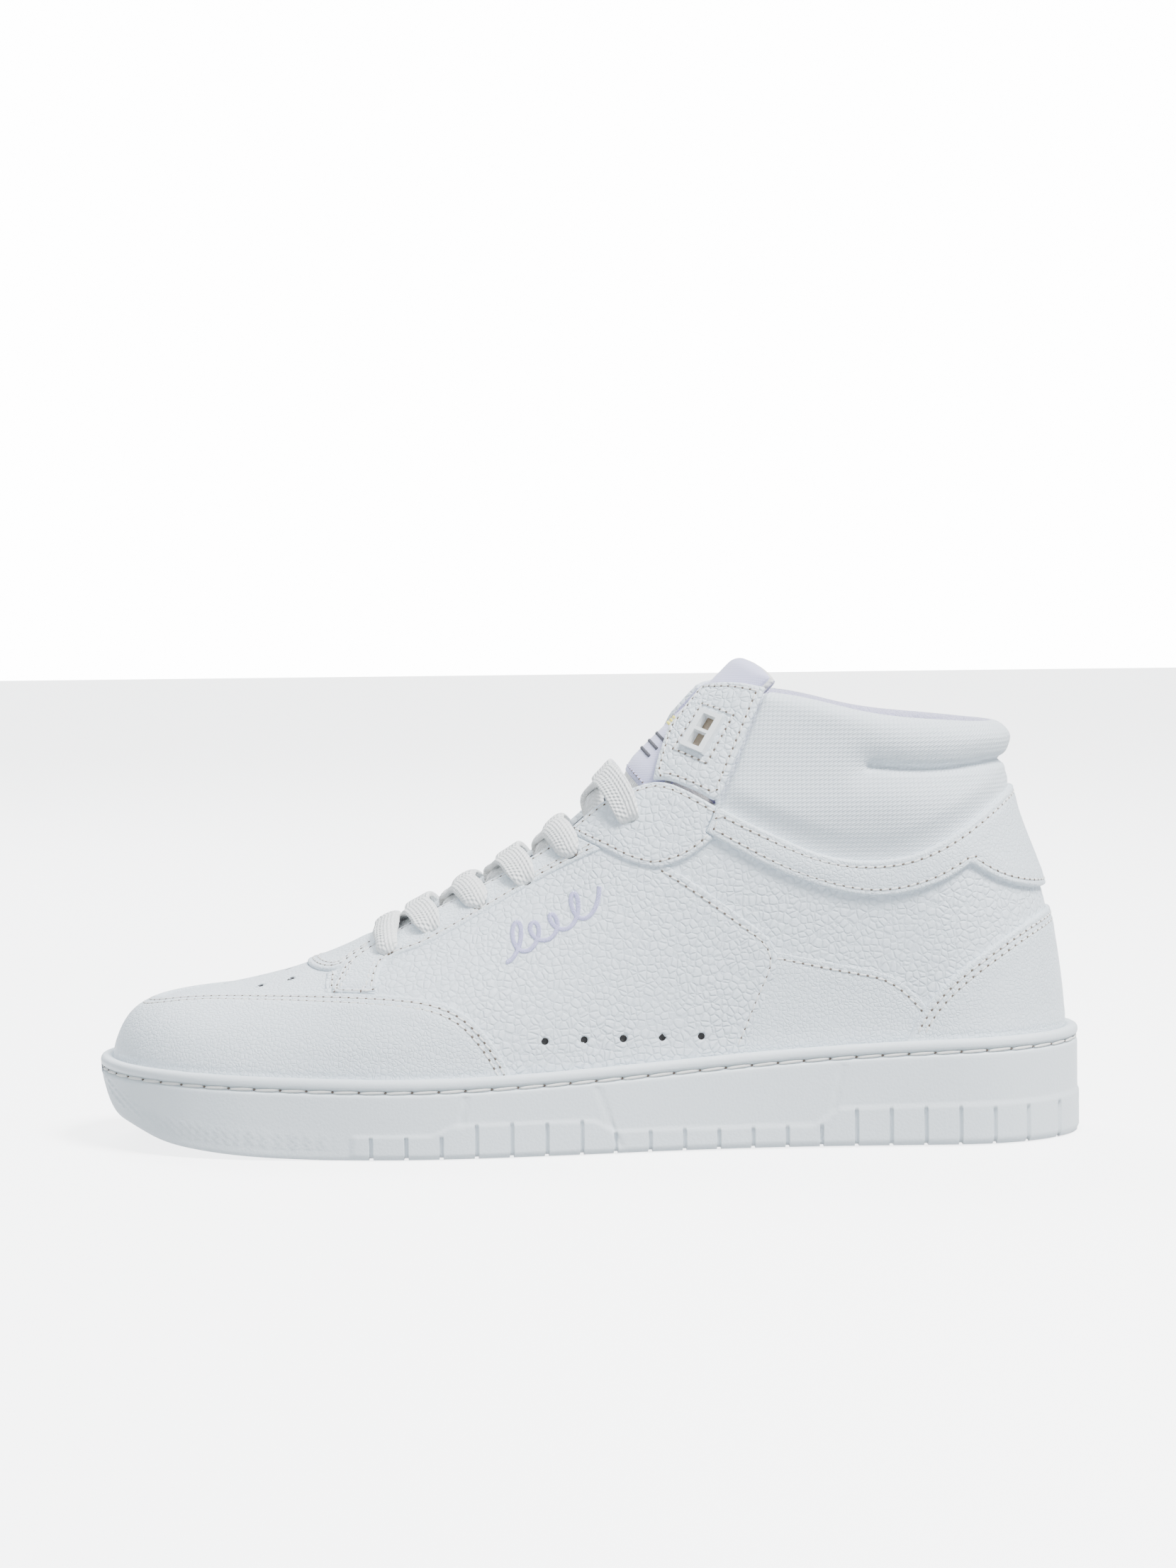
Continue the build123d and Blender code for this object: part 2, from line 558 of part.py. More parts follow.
def frame_plane(side):
    point, normal = side_point(FRAME_AT[0], FRAME_AT[1], side)
    lean = np.radians(FRAME_LEAN)
    up = np.array([np.sin(lean), 0, np.cos(lean)])
    up -= normal * (up @ normal)
    up /= np.linalg.norm(up)
    along = np.cross(up, normal)
    return Plane(Vector(*(point + 1.0 * normal)), x_dir=Vector(*along), z_dir=Vector(*normal))


def block(plane, width, height, low, high, shift=0.0):
    base = Plane(plane.origin + plane.z_dir * low + plane.y_dir * shift, x_dir=plane.x_dir, z_dir=plane.z_dir)
    return Solid.extrude(Face.make_rect(width, height, base), plane.z_dir * (high - low))


def flaps():
    parts = {}
    skin = layer(-1.2, -1.2 + FLAP, flap_region() - throat_slot())
    for name, solid, side in zip(("lateral", "medial"), sides(skin), (-1, 1)):
        plane = frame_plane(side)
        seat = block(plane, FRAME_W, FRAME_H, -FRAME_T, 4)
        frame = block(plane, FRAME_W, FRAME_H, -1.9, FRAME_T - 1.9)
        for shift in (-(WINDOW + 1) / 2, (WINDOW + 1) / 2):
            frame = frame - block(plane, WINDOW, WINDOW, -6, 6, shift)
        parts["ankle_flap_" + name] = solid - seat
        parts["eyelet_frame_" + name] = frame
    return parts


def throat_slot():
    """Room between the two flaps at the front of the ankle."""
    return plan_cutter([(0, -16), (26, -12), (40, -5), (60, -5), (60, 1), (40, 1), (26, 6), (0, 10)], 90, 160)


# ---------------------------------------------------------------- tongue


def tongue_strip(half):
    """Plan of the tongue, a little wider at the top."""
    xs = np.linspace(TONGUE_TOE + 2, 70, 14)
    near = [(x, float(middle(x)) - half) for x in xs]
    far = [(x, float(middle(x)) + half) for x in xs]
    return plan_cutter(near + far[::-1], 30, 160)


def hinge_cutter(sign):
    """Half space on one side of the plane across the tongue at its hinge line."""
    lean = np.radians(TONGUE_LEAN)
    along = np.array([np.cos(lean), np.sin(lean)])
    down = np.array([np.sin(lean), -np.cos(lean)])
    start = np.array(HINGE) + sign * 0.15 * along
    corners = [start - 30 * down, start + 60 * down, start + 60 * down + sign * 120 * along,
               start - 30 * down + sign * 120 * along]
    wire = Wire.make_polygon([Vector(float(x), -80, float(z)) for x, z in corners], close=True)
    return Solid.extrude(Face(wire), Vector(0, 160, 0))


def tongue_crown():
    """Round end of the tongue in the side view."""
    return side_cutter([(-90, 40), (-100, 40)], [(-100, 40), (-100, 150)], [(-100, 150), (36, 150)],
                       [(36, 150), (41, 143.2), (46, 143.4), (51, 140), (54.2, 137)],
                       [(54.2, 137), (40, 102)], [(40, 102), (24, 60)], [(24, 60), (-90, 40)])


def tongue():
    parts = {}
    layers = (("face", -1.2), ("foam", -5.6), ("lining", -1.2))
    crown = tongue_crown()
    depth = TONGUE_TOP
    region = tongue_strip(TONGUE_HALF) & hinge_cutter(-1) & crown
    for name, thick in layers:
        parts["tongue_lower_" + name] = layer(depth + thick + SEAM, depth, region)
        depth += thick
    label_top = -1.2 - GAP
    depth = label_top - LABEL
    region = tongue_strip(TONGUE_TOP_HALF) & hinge_cutter(1) & crown
    for name, thick in layers:
        parts["tongue_upper_" + name] = layer(depth + thick + SEAM, depth, region)
        depth += thick
    region = tongue_strip(TONGUE_TOP_HALF - 2.5) & hinge_cutter(1) & crown
    parts["tongue_label"] = layer(label_top - LABEL + SEAM, label_top, region)
    region = throat_cutter(-0.4, 40, 70) & box(-90, -66, -40, 40, 40, 80)
    parts["tongue_base"] = layer(0.0, LEATHER, region)
    return parts


# ---------------------------------------------------------------- lace


def ribbon(stations):
    """Flat band through stations of (point, across, normal, width, thickness)."""
    wires = []
    for point, across, normal, width, thickness in stations:
        corners = [point + a * across * width / 2 + b * normal * thickness / 2
                   for a, b in ((-1, -1), (1, -1), (1, 1), (-1, 1))]
        wires.append(Wire.make_polygon([Vector(*map(float, c)) for c in corners], close=True))
    return Solid.make_loft(wires, ruled=True)


def lace_route(side):
    """Key places of one half of the lace: (x, y from the centre line, depth, width)."""
    x1, y1 = EYELETS[0]
    route = [(x1, 0.0, OVER, LACE_W), (x1, side * 0.5 * y1, OVER, LACE_W),
             (x1, side * 0.82 * y1, OVER + 0.2, LACE_W * 0.8)]
    for i, (x, y) in enumerate(EYELETS):
        route += [(x, side * y, OVER - 0.4, 3.8), (x, side * y, 0.0, 3.4), (x, side * y, UNDER + 0.6, 3.6)]
        if i + 1 == len(EYELETS):
            route += [(x - 3, side * (y - 4), UNDER, 5.0), (x - 6, side * (y - 6), UNDER, 5.5),
                      (x - 9, side * (y - 7.5), UNDER, 5.5)]
            break
        nx, ny = EYELETS[i + 1]
        mid_x = (x + nx) / 2
        cross = (OVER + UNDER) / 2 + (CROSSING if side > 0 else -CROSSING)

        def along(share):
            """Place on the slant from this eyelet (0) to the next one across (1)."""
            return x + share * (nx - x), side * (y - share * (y + ny))

        route += [(*along(0.12), UNDER, LACE_W * 0.75), (*along(0.24), UNDER, LACE_W * 0.9),
                  (*along(0.37), cross, LACE_W), (mid_x, 0.0, cross, LACE_W), (*along(0.63), cross, LACE_W),
                  (*along(0.77), OVER + 0.1, LACE_W), (*along(0.9), OVER + 0.3, LACE_W * 0.8)]
        side = -side
    return route


def lace():
    """Both halves of the lace: it crosses under the edges and dives into every eyelet."""
    strands = []
    for side in (-1, 1):
        route = lace_route(side)
        points, normals = [], []
        for x, y, depth, width in route:
            p, n = surface_point(x, float(middle(x)) + y, depth)
            points.append(p)
            normals.append(n)
        stations = []
        for i, (x, y, depth, width) in enumerate(route):
            ahead = points[min(i + 1, len(points) - 1)] - points[max(i - 1, 0)]
            ahead /= np.linalg.norm(ahead)
            normal = normals[i]
            across = np.cross(ahead, normal)
            if np.linalg.norm(across) < 0.3:
                across = np.array([1.0, 0, 0]) * np.sign(across[0] or 1)
            across /= np.linalg.norm(across)
            up = np.cross(across, ahead)
            stations.append((points[i], across, up, width, LACE_T if width > 4 else 2.6))
        strands.append(ribbon(stations))
    return strands


# ---------------------------------------------------------------- build


def build():
    parts = {"cupsole": cupsole(), "sole_stitching": sole_stitching(), "foam_midsole": foam_midsole(),
             "lasting_board": lasting_board(), "sockliner": sockliner()}
    parts.update(base_panels())
    parts.update(overlays())
    parts.update(linings())
    parts.update(collar())
    parts.update(flaps())
    parts.update(tongue())
    for name, strand in zip(("lace_lateral_start", "lace_medial_start"), lace()):
        parts[name] = strand
    return parts


if __name__ == "__main__":
    os.makedirs("parts", exist_ok=True)
    for name, solid in build().items():
        solid.label = name
        export_step(solid, "parts/" + name + ".step")
        print(name, round(solid.volume, 1), flush=True)
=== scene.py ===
"""Looks of a padded leather basketball high top (left shoe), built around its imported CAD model.

Shapes are worked out in millimetres on the same last as the CAD model and scaled to metres
when a mesh is made.  +X is the heel, -Y the outer side, +Z up.
"""
import math

import bpy
import numpy as np
from mathutils import Matrix, Vector


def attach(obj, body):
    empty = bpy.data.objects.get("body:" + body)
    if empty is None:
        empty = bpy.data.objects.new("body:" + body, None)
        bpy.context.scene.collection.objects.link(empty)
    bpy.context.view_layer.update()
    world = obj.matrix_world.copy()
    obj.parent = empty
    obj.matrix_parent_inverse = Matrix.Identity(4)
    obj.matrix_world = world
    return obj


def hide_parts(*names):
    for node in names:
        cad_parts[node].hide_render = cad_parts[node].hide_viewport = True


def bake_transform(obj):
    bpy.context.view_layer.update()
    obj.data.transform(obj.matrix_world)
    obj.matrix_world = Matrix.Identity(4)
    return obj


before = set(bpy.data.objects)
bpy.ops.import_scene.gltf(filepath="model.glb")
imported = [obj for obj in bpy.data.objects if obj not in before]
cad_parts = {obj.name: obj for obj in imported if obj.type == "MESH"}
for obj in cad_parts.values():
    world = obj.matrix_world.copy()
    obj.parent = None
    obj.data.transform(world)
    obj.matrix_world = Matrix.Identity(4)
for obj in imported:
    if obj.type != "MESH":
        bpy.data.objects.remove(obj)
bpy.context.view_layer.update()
MM = 0.001

# ---------------------------------------------------------------- the last (mm)
TOE_X, HEEL_X, LIP, SEAT, ANKLE_HALF = -150.0, 150.0, 4.0, 20.0, 33.5
TOE_ROUND, HEEL_ROUND = 55.0, 45.0
RIDGE = [(-145.2, 2), (-145.2, 24), (-143.6, 31.5), (-139.5, 38), (-133.5, 42), (-125, 44.7),
         (-110, 47.6), (-97, 50.6), (-84, 54.4), (-70, 60), (-50, 70), (-25, 84), (-10, 94),
         (7.2, 111.3), (24.2, 127.6), (37.2, 139.8), (52, 154), (90, 195), (130, 250)]
HEEL = [(144.4, 2), (145, 24), (144.8, 38), (143.6, 50), (141.8, 62), (137.6, 79),
        (130.8, 97), (128.6, 106), (128.2, 118), (127.4, 130), (126.5, 156)]
HALF = [(-150, 47), (-95, 47.8), (-60, 51.3), (-20, 46), (10, 40.5), (40, 37.3), (70, 36.8),
        (100, 37.8), (150, 38)]
MIDDLE = [(-150, 8), (-128, 3.8), (-110, 1.2), (-90, -0.4), (-65, -1.4), (-40, -2.8), (-10, -4),
          (15, -3.8), (45, -2.6), (75, -1.2), (110, -0.4), (150, 0)]
FULLNESS = [(-150, 2.4), (-95, 2.4), (-60, 3.0), (-20, 3.3), (20, 3.5), (60, 5), (100, 6), (150, 6)]
LIP_TOP = [(-150, 26), (-120, 25.2), (-90, 24.3), (-50, 23.8), (-20, 24.6), (10, 26.2), (50, 29),
           (100, 31.6), (150, 32.6)]
SPRING = [(-150, 23), (-146, 13.5), (-140, 8.5), (-130, 4.5), (-120, 2.5), (-110, 1.4), (-97, 0.5),
          (-80, 0), (0, 0), (160, 0)]

# ---------------------------------------------------------------- pattern outlines (x, z), mm
MUDGUARD_EDGE = [(-160, 36), (-133, 42.6), (-122, 44.4), (-110, 45.4), (-90, 46.6), (-70, 47.4),
                 (-58, 47.3), (-50, 46.6), (-43, 44.8), (-37, 41.5), (-32, 36.5), (-27.5, 30),
                 (-23.5, 22)]
EYESTAY_FRONT = [(-72.5, 57.5), (-74.8, 53), (-76.5, 50), (-78.5, 46)]
EYESTAY_EDGE = [(-64.5, 46), (-63.6, 51), (-62.2, 55), (-59.5, 57.2), (-52, 60), (-45, 63.2),
                (-29, 72), (-10, 82.6), (7.5, 91)]
ANKLE_LOW = [(-12, 98), (-4, 93), (5, 89), (13, 85.4), (20, 84)]
ANKLE_REAR = [(20, 84), (28, 86.5), (36, 92), (43, 98.5)]
ANKLE_TOP = [(5, 102.5), (11.7, 106), (16, 107.8), (20, 108.9), (24, 108.7), (28, 107.3),
             (33, 104.8), (38.5, 101.6), (43, 98.5)]
QUARTER_REAR = [(21, 86), (28, 81.5), (40, 73), (48, 67), (54.5, 60.5), (55.6, 55), (53, 47.5),
                (48.3, 36.4), (41, 20)]
FOXING_TOP = [(55.5, 58.6), (70, 55.4), (80, 53.4), (89, 51), (95, 47), (103, 38)]
COUNTER_EDGE = [(89, 22), (93.9, 31), (99.4, 40.6), (107.5, 49.6), (118.8, 58), (134.4, 66.5),
                (150, 71)]
BAND_TOP = [(38.1, 102.2), (45, 98.5), (55, 93.6), (65, 89.1), (75, 86.3), (85, 85.6), (95, 86.8),
            (105, 90.6), (116, 97.4), (122, 101.6), (140, 113)]
BAND_LOW = [(34.5, 94.5), (45, 88.6), (60, 81.1), (70, 77.6), (80, 75.3), (88, 74.9), (97, 76.3),
            (105, 79), (113.9, 83.9)]
BAND_TAB = [(113.9, 83.9), (121, 79.5), (131, 76), (150, 74)]
RIM = [(52.0, 137.4), (60, 136), (71, 133.3), (81, 130.6), (91, 128.8), (106, 127.4), (120, 126.4),
       (140, 125.8)]
FLAP_FRONT = [(19.3, 109.6), (20.3, 113.6), (22.2, 119), (25, 125.5), (28.5, 131.5), (32.5, 135.8),
              (37, 137.9)]
FLAP_TOP = [(37, 137.9), (42, 138.6), (48, 138.3), (53.2, 137.3)]
FLAP_REAR = [(53.2, 137.2), (38.2, 103.2)]
FLAP_FOOT = [(38.2, 103.2), (33, 106.2), (27, 108.8), (23, 109.9), (19.3, 109.9)]
THROAT = [(-74.5, 21.5), (-70, 18), (-65, 15.5), (-55, 13.3), (-35, 12.5), (-15, 13), (0, 14.5),
          (14, 18.5), (24, 23)]
TONGUE_TOE = -86.0
EYELETS = [(-60.3, 24), (-47.2, 22), (-33, 20.7), (-18.8, 20), (-5.1, 20.5), (12.5, 23.5)]
QUARTER_HOLES = [(-14.3 + 11.7 * i, 33.8) for i in range(5)]
VAMP_HOLES = [(-111, 0), (-101.5, 0), (-92, 0), (-100, -14), (-100, 14), (-90.5, -15), (-90.5, 15)]
FRAME_AT, FRAME_LEAN = (34.9, 123.7), 22.0
CREASE = [(83.8, 113.7), (90, 113.1), (100, 112.5), (111, 112.8), (122, 113.8), (135, 114.2)]
HINGE, TONGUE_LEAN = (9.0, 113.0), 43.5


def natural(points):
    """Natural cubic spline y(x) through the points."""
    x, y = np.array(points, float).T
    n = len(x)
    h = np.diff(x)
    a = np.eye(n)
    r = np.zeros(n)
    for i in range(1, n - 1):
        a[i, i - 1:i + 2] = h[i - 1], 2 * (h[i - 1] + h[i]), h[i]
        r[i] = 6 * ((y[i + 1] - y[i]) / h[i] - (y[i] - y[i - 1]) / h[i - 1])
    m = np.linalg.solve(a, r)

    def value(t):
        t = np.clip(np.asarray(t, float), x[0], x[-1])
        i = np.clip(np.searchsorted(x, t) - 1, 0, n - 2)
        u, v = x[i + 1] - t, t - x[i]
        cubic = (m[i] * u ** 3 + m[i + 1] * v ** 3) / (6 * h[i])
        return cubic + (y[i] / h[i] - m[i] * h[i] / 6) * u + (y[i + 1] / h[i] - m[i + 1] * h[i] / 6) * v

    return value


def through(points, step=1.0, straight=False):
    """Evenly spaced points along a smooth run through the given ones, in any dimension."""
    p = np.array(points, float)
    s = np.append(0, np.cumsum(np.linalg.norm(np.diff(p, axis=0), axis=1)))
    t = np.linspace(0, s[-1], max(2, int(round(s[-1] / step)) + 1))
    if straight or len(p) < 3:
        return np.column_stack([np.interp(t, s, c) for c in p.T])
    return np.column_stack([natural(np.column_stack([s, c]))(t) for c in p.T])


half_width, sole_middle, fullness = natural(HALF), natural(MIDDLE), natural(FULLNESS)
lip_top, spring = natural(LIP_TOP), natural(SPRING)
BALL_X = np.linspace(-90, -30, 121)
OFF_CENTRE = 0.5 * ((sole_middle(BALL_X) + half_width(BALL_X)).max()
                    + (sole_middle(BALL_X) - half_width(BALL_X)).min())
ridge_line, heel_line = through(RIDGE, 0.2), through(HEEL, 0.2)


def middle(x):
    return sole_middle(x) - OFF_CENTRE


def smooth(t):
    t = np.clip(t, 0, 1)
    return t * t * (3 - 2 * t)


def ends(x, z):
    """How far the round toe and heel are from closing the plan, 1 to 0."""
    toe = np.maximum((TOE_X + TOE_ROUND - x) / (TOE_X + TOE_ROUND - ridge_line[:, 0].min()), 0)
    back = np.interp(z, heel_line[:, 1], heel_line[:, 0])
    heel = np.maximum((x - back + HEEL_ROUND - 2) / (HEEL_ROUND - 2), 0)
    return (1 - toe ** 2.3) * (1 - heel ** 2.3)


def wide(x, z):
    low = half_width(x) - LIP
    return low + (ANKLE_HALF - low) * smooth((z - 28) / 64)


def crown(x, z):
    """1 at the seat, 0 on the ridge of the instep."""
    top = np.interp(x, ridge_line[:, 0], ridge_line[:, 1])
    t = np.maximum((z - SEAT) / np.maximum(top - SEAT, 1e-6), 0)
    return 1 - t ** fullness(x)


def half(x, z):
    return wide(x, z) * np.sqrt(np.maximum(ends(x, z), 0) * np.maximum(crown(x, z), 0))


def level(p):
    """Below zero inside the last."""
    x, y, z = p[:, :3].T
    shut = np.where((ends(x, z) < 0) & (crown(x, z) < 0), -1.0, 1.0)
    return ((y - middle(x)) / wide(x, z)) ** 2 - shut * ends(x, z) * crown(x, z)


def gradient(p, step=0.05):
    g = np.empty((len(p), 3))
    for k in range(3):
        move = np.zeros(3)
        move[k] = step
        g[:, k] = (level(p[:, :3] + move) - level(p[:, :3] - move)) / (2 * step)
    return g


def settle(p, rounds=3):
    """Moves points onto the last; further columns ride along."""
    q = p.copy()
    for _ in range(rounds):
        g = gradient(q)
        move = level(q)[:, None] * g / np.maximum((g ** 2).sum(1), 1e-12)[:, None]
        size = np.linalg.norm(move, axis=1)[:, None]
        q[:, :3] -= move * np.minimum(1, 2.0 / np.maximum(size, 1e-9))
    return q


def unit(rows):
    return rows / np.maximum(np.linalg.norm(rows, axis=1), 1e-9)[:, None]


def normals(p):
    return unit(gradient(p))


def on_side(x, z, side):
    x, z = np.atleast_1d(np.asarray(x, float)), np.atleast_1d(np.asarray(z, float))
    return settle(np.column_stack([x, middle(x) + side * half(x, z), z]))


def on_top(x, y):
    """Points of the instep over plan points; y is measured from the centre line."""
    x, y = np.atleast_1d(np.asarray(x, float)), np.atleast_1d(np.asarray(y, float))
    top = np.interp(x, ridge_line[:, 0], ridge_line[:, 1])
    z = top.copy()
    for _ in range(40):
        share = np.minimum(np.abs(y) / (wide(x, z) * np.sqrt(np.maximum(ends(x, z), 1e-6))), 0.999)
        z = 0.5 * z + 0.5 * (SEAT + (top - SEAT) * (1 - share ** 2) ** (1 / fullness(x)))
    return settle(np.column_stack([x, middle(x) + y, z]))


def tube_faces(rings, n, reverse=False):
    """Quads between rings of n points each."""
    j, k = np.meshgrid(np.arange(rings - 1), np.arange(n), indexing="ij")
    a, b = (j * n + k).ravel(), (j * n + (k + 1) % n).ravel()
    return np.column_stack([a, a + n, b + n, b] if reverse else [a, b, b + n, a + n])


def master():
    """Grid of the whole last: points (x, y, z, u, v) and outward triangles.  u is the way round
    from the ridge, the same on both sides, and v the height; patterns are laid out by them."""
    heights, count = np.arange(14, 150.5, 0.8), 140
    turn = np.linspace(0, np.pi, count + 1)
    rows = []
    for z in heights:
        a = np.interp(z, ridge_line[:, 1], ridge_line[:, 0])
        b = np.interp(z, heel_line[:, 1], heel_line[:, 0])
        x = (a + b) / 2 - (b - a) / 2 * np.cos(turn)
        w = half(x, np.full_like(x, z))
        w[0] = w[-1] = 0
        u = np.append(0, np.cumsum(np.hypot(np.diff(x), np.diff(w))))
        near = np.column_stack([x, middle(x) - w, np.full_like(x, z), u, np.full_like(x, z)])
        far = np.column_stack([x, middle(x) + w, np.full_like(x, z), u, np.full_like(x, z)])
        rows.append(np.vstack([near, far[-2:0:-1]]))
    quads = tube_faces(len(heights), 2 * count)
    return np.vstack(rows), np.vstack([quads[:, :3], quads[:, [0, 2, 3]]])


GRID, GRID_TRIS = master()

# ---------------------------------------------------------------- cutting panels


def outline(*runs):
    """Closed outline of smooth runs, one after the other."""
    return np.vstack([through(run, 1.2) for run in runs])


def inset(p, shape, plane="side"):
    """Distance inside an outline seen from the side (x, z) or from above (x, y), on the surface."""
    cols = (0, 2) if plane == "side" else (0, 1)
    q = p[:, cols]
    lo, hi = shape.min(0) - 12, shape.max(0) + 12
    close = ((q > lo) & (q < hi)).all(1)
    full = np.full(len(p), -12.0)
    q, n3 = q[close], normals(p[close])
    best = np.full(len(q), 1e9)
    nearest = np.zeros_like(q)
    inside = np.zeros(len(q), bool)
    for a, b in zip(shape, np.roll(shape, -1, 0)):
        ab = b - a
        length = ab @ ab
        if length < 1e-12:
            continue
        t = np.clip(((q - a) @ ab) / length, 0, 1)
        foot = a + t[:, None] * ab
        d = ((q - foot) ** 2).sum(1)
        nearest = np.where((d < best)[:, None], foot, nearest)
        best = np.minimum(best, d)
        if a[1] != b[1]:
            crosses = (q[:, 1] > a[1]) != (q[:, 1] > b[1])
            inside ^= crosses & (q[:, 0] < a[0] + (q[:, 1] - a[1]) / (b[1] - a[1]) * ab[0])
    best = np.sqrt(best)
    way = np.zeros((len(q), 3))
    way[:, cols] = (q - nearest) / np.maximum(best, 1e-9)[:, None]
    lean = way - (way * n3).sum(1)[:, None] * n3
    full[close] = np.where(inside, 1, -1) * best / np.maximum(np.linalg.norm(lean, axis=1), 0.35)
    return full


def crossings(tris, value, at):
    """Triangles that value = at crosses, each with its odd corner first, and where it cuts their edges."""
    over = value > at
    mixed = over[tris].any(1) & ~over[tris].all(1)
    cut = tris[mixed]
    o = over[cut]
    odd = np.where((o.sum(1) == 1)[:, None], o, ~o).argmax(1)
    cut = np.take_along_axis(cut, (odd[:, None] + np.arange(3)) % 3, 1)
    pairs, index = np.unique(np.sort(np.vstack([cut[:, :2], cut[:, ::2]]), 1), axis=0, return_inverse=True)
    i, j = pairs.T
    return mixed, cut, index.reshape(2, -1), i, j, (at - value[i]) / (value[j] - value[i])


def split(p, tris, value, at, fields):
    """Cuts triangles along value = at, so that a row of points lies on it."""
    mixed, cut, index, i, j, t = crossings(tris, value, at)
    if not len(cut):
        return p, tris, value, fields
    t = np.clip(t, 0.0005, 0.9995)
    a, b, c = cut.T
    ab, ac = len(p) + index
    tris = np.vstack([tris[~mixed], np.column_stack([a, ab, ac]), np.column_stack([ab, b, c]),
                      np.column_stack([ab, c, ac])])
    fields = [np.append(f, f[i] + t * (f[j] - f[i])) for f in fields]
    p = np.vstack([p, p[i] + t[:, None] * (p[j] - p[i])])
    return p, tris, np.append(value, np.full(len(i), at)), fields


def compact(p, tris, fields):
    used, index = np.unique(tris, return_inverse=True)
    return p[used], index.reshape(tris.shape), [f[used] for f in fields]


def piece_of(p, tris, value, low=0.0, fields=()):
    """The triangles whose value is above low."""
    keep = (value[tris] >= low - 1e-9).all(1)
    p, tris, fields = compact(p, tris[keep], [value, *fields])
    return p, tris, fields[0], fields[1:]


def cut_out(field, levels, spots=(), radius=0.0):
    """The part of the last inside a field of distances, with rows of points at the levels, less
    round holes at the spots.  Gives points, triangles, distance inside, outward way, gap to a hole."""
    value = field(GRID)
    p, tris, (value,) = compact(GRID, GRID_TRIS[(value[GRID_TRIS] > -1.0).any(1)], [value])
    gap = np.full(len(p), 50.0)
    if spots:
        p, tris, gap, (value,) = near_holes(p, tris, spots, [value], radius)
        for at in HOLE_ROWS:
            p, tris, gap, (value,) = split(p, tris, gap, at, [value])
        p, tris, gap, (value,) = piece_of(p, tris, gap, 0.0, [value])
    for at in levels:
        p, tris, value, (gap,) = split(p, tris, value, at, [gap])
    p, tris, value, (gap,) = piece_of(p, tris, value, 0.0, [gap])
    p = settle(p, 2)
    return p, tris, value, normals(p), gap


def contour(p, tris, value, at, least=4):
    """Polylines of at least so many points along value = at."""
    _, _, index, i, j, t = crossings(tris, value, at)
    points = (p[i] + t[:, None] * (p[j] - p[i]))[:, :3]
    links = {}
    for m, n in index.T.tolist():
        links.setdefault(m, []).append(n)
        links.setdefault(n, []).append(m)
    chains = []
    left = set(links)
    ends_first = [k for k in links if len(links[k]) == 1]
    while left:
        start = next((k for k in ends_first if k in left), None)
        start = min(left) if start is None else start
        chain, ahead = [], [start]
        while ahead:
            chain.append(ahead[0])
            left.discard(ahead[0])
            ahead = [k for k in links[chain[-1]] if k in left]
        if len(links[start]) == 2:
            chain.append(start)
        if len(chain) > least:
            chains.append(points[chain])
    return chains


# ---------------------------------------------------------------- making objects


def make(name, verts, faces, material, body=None, uv=None, nodes=()):
    """A smooth mesh object from millimetres, riding on a body and standing for the CAD nodes."""
    mesh = bpy.data.meshes.new(name)
    faces = faces.tolist() if isinstance(faces, np.ndarray) else faces
    mesh.from_pydata((np.asarray(verts)[:, :3] * MM).tolist(), [], faces)
    if uv is not None:
        layer = mesh.attributes.new("lay", "FLOAT_VECTOR", "POINT")
        layer.data.foreach_set("vector", np.column_stack([uv, np.zeros(len(uv))]).astype(np.float32).ravel())
    mesh.materials.append(material)
    mesh.shade_smooth()
    mesh.validate()
    obj = bpy.data.objects.new(name, mesh)
    bpy.context.scene.collection.objects.link(obj)
    if nodes:
        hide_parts(*nodes)
    if body:
        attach(obj, body)
    return obj


def skin(name, part, high, material, body, nodes=(), inner=False):
    """A cut-out part as an object, at a height over the last; inner turns its face inwards."""
    p, tris, _, out, _ = part
    return make(name, p[:, :3] + high[:, None] * out, tris[:, ::-1] if inner else tris, material, body,
                p[:, 3:5], nodes)


def spaced(line, pitch):
    """Stitch centres and directions along a polyline."""
    s = np.append(0, np.cumsum(np.linalg.norm(np.diff(line, axis=0), axis=1)))
    count = int(s[-1] / pitch)
    if count < 1:
        return np.empty((0, 3)), np.empty((0, 3))
    at = (np.arange(count) + 0.5) * s[-1] / count
    mid = np.column_stack([np.interp(at, s, c) for c in line.T])
    ahead = np.column_stack([np.interp(at + 0.4, s, c) - np.interp(at - 0.4, s, c) for c in line.T])
    return mid, unit(ahead)


def bead(sides=6, rings=(-1, -0.82, -0.4, 0.4, 0.82, 1)):
    """Unit bead along its first axis: points and faces."""
    radius = [max(1 - abs(r) ** 2.6, 0) ** 0.5 for r in rings]
    points = [(rings[0], 0, 0)]
    for r, w in list(zip(rings, radius))[1:-1]:
        for k in range(sides):
            turn = 2 * math.pi * k / sides
            points.append((r, w * math.cos(turn), w * math.sin(turn)))
    points.append((rings[-1], 0, 0))
    last = len(points) - 1
    faces = []
    for k in range(sides):
        nxt = (k + 1) % sides
        faces.append((0, 1 + nxt, 1 + k))
        for ring in range(len(rings) - 3):
            a = 1 + ring * sides
            faces.append((a + k, a + nxt, a + sides + nxt))
            faces.append((a + k, a + sides + nxt, a + sides + k))
        faces.append((last, last - sides + k, last - sides + nxt))
    return np.array(points), np.array(faces)


def scatter(centres, along, out, size):
    """Beads of half sizes (length, width, height) at the centres, as one mesh."""
    base, faces = bead()
    across = unit(np.cross(out, along))
    up = np.cross(along, across)
    verts = (centres[:, None] + base[None, :, 0, None] * size[0] * along[:, None]
             + base[None, :, 1, None] * size[1] * across[:, None]
             + base[None, :, 2, None] * size[2] * up[:, None])
    tris = faces[None] + (np.arange(len(centres)) * len(base))[:, None, None]
    return verts.reshape(-1, 3), tris.reshape(-1, 3)


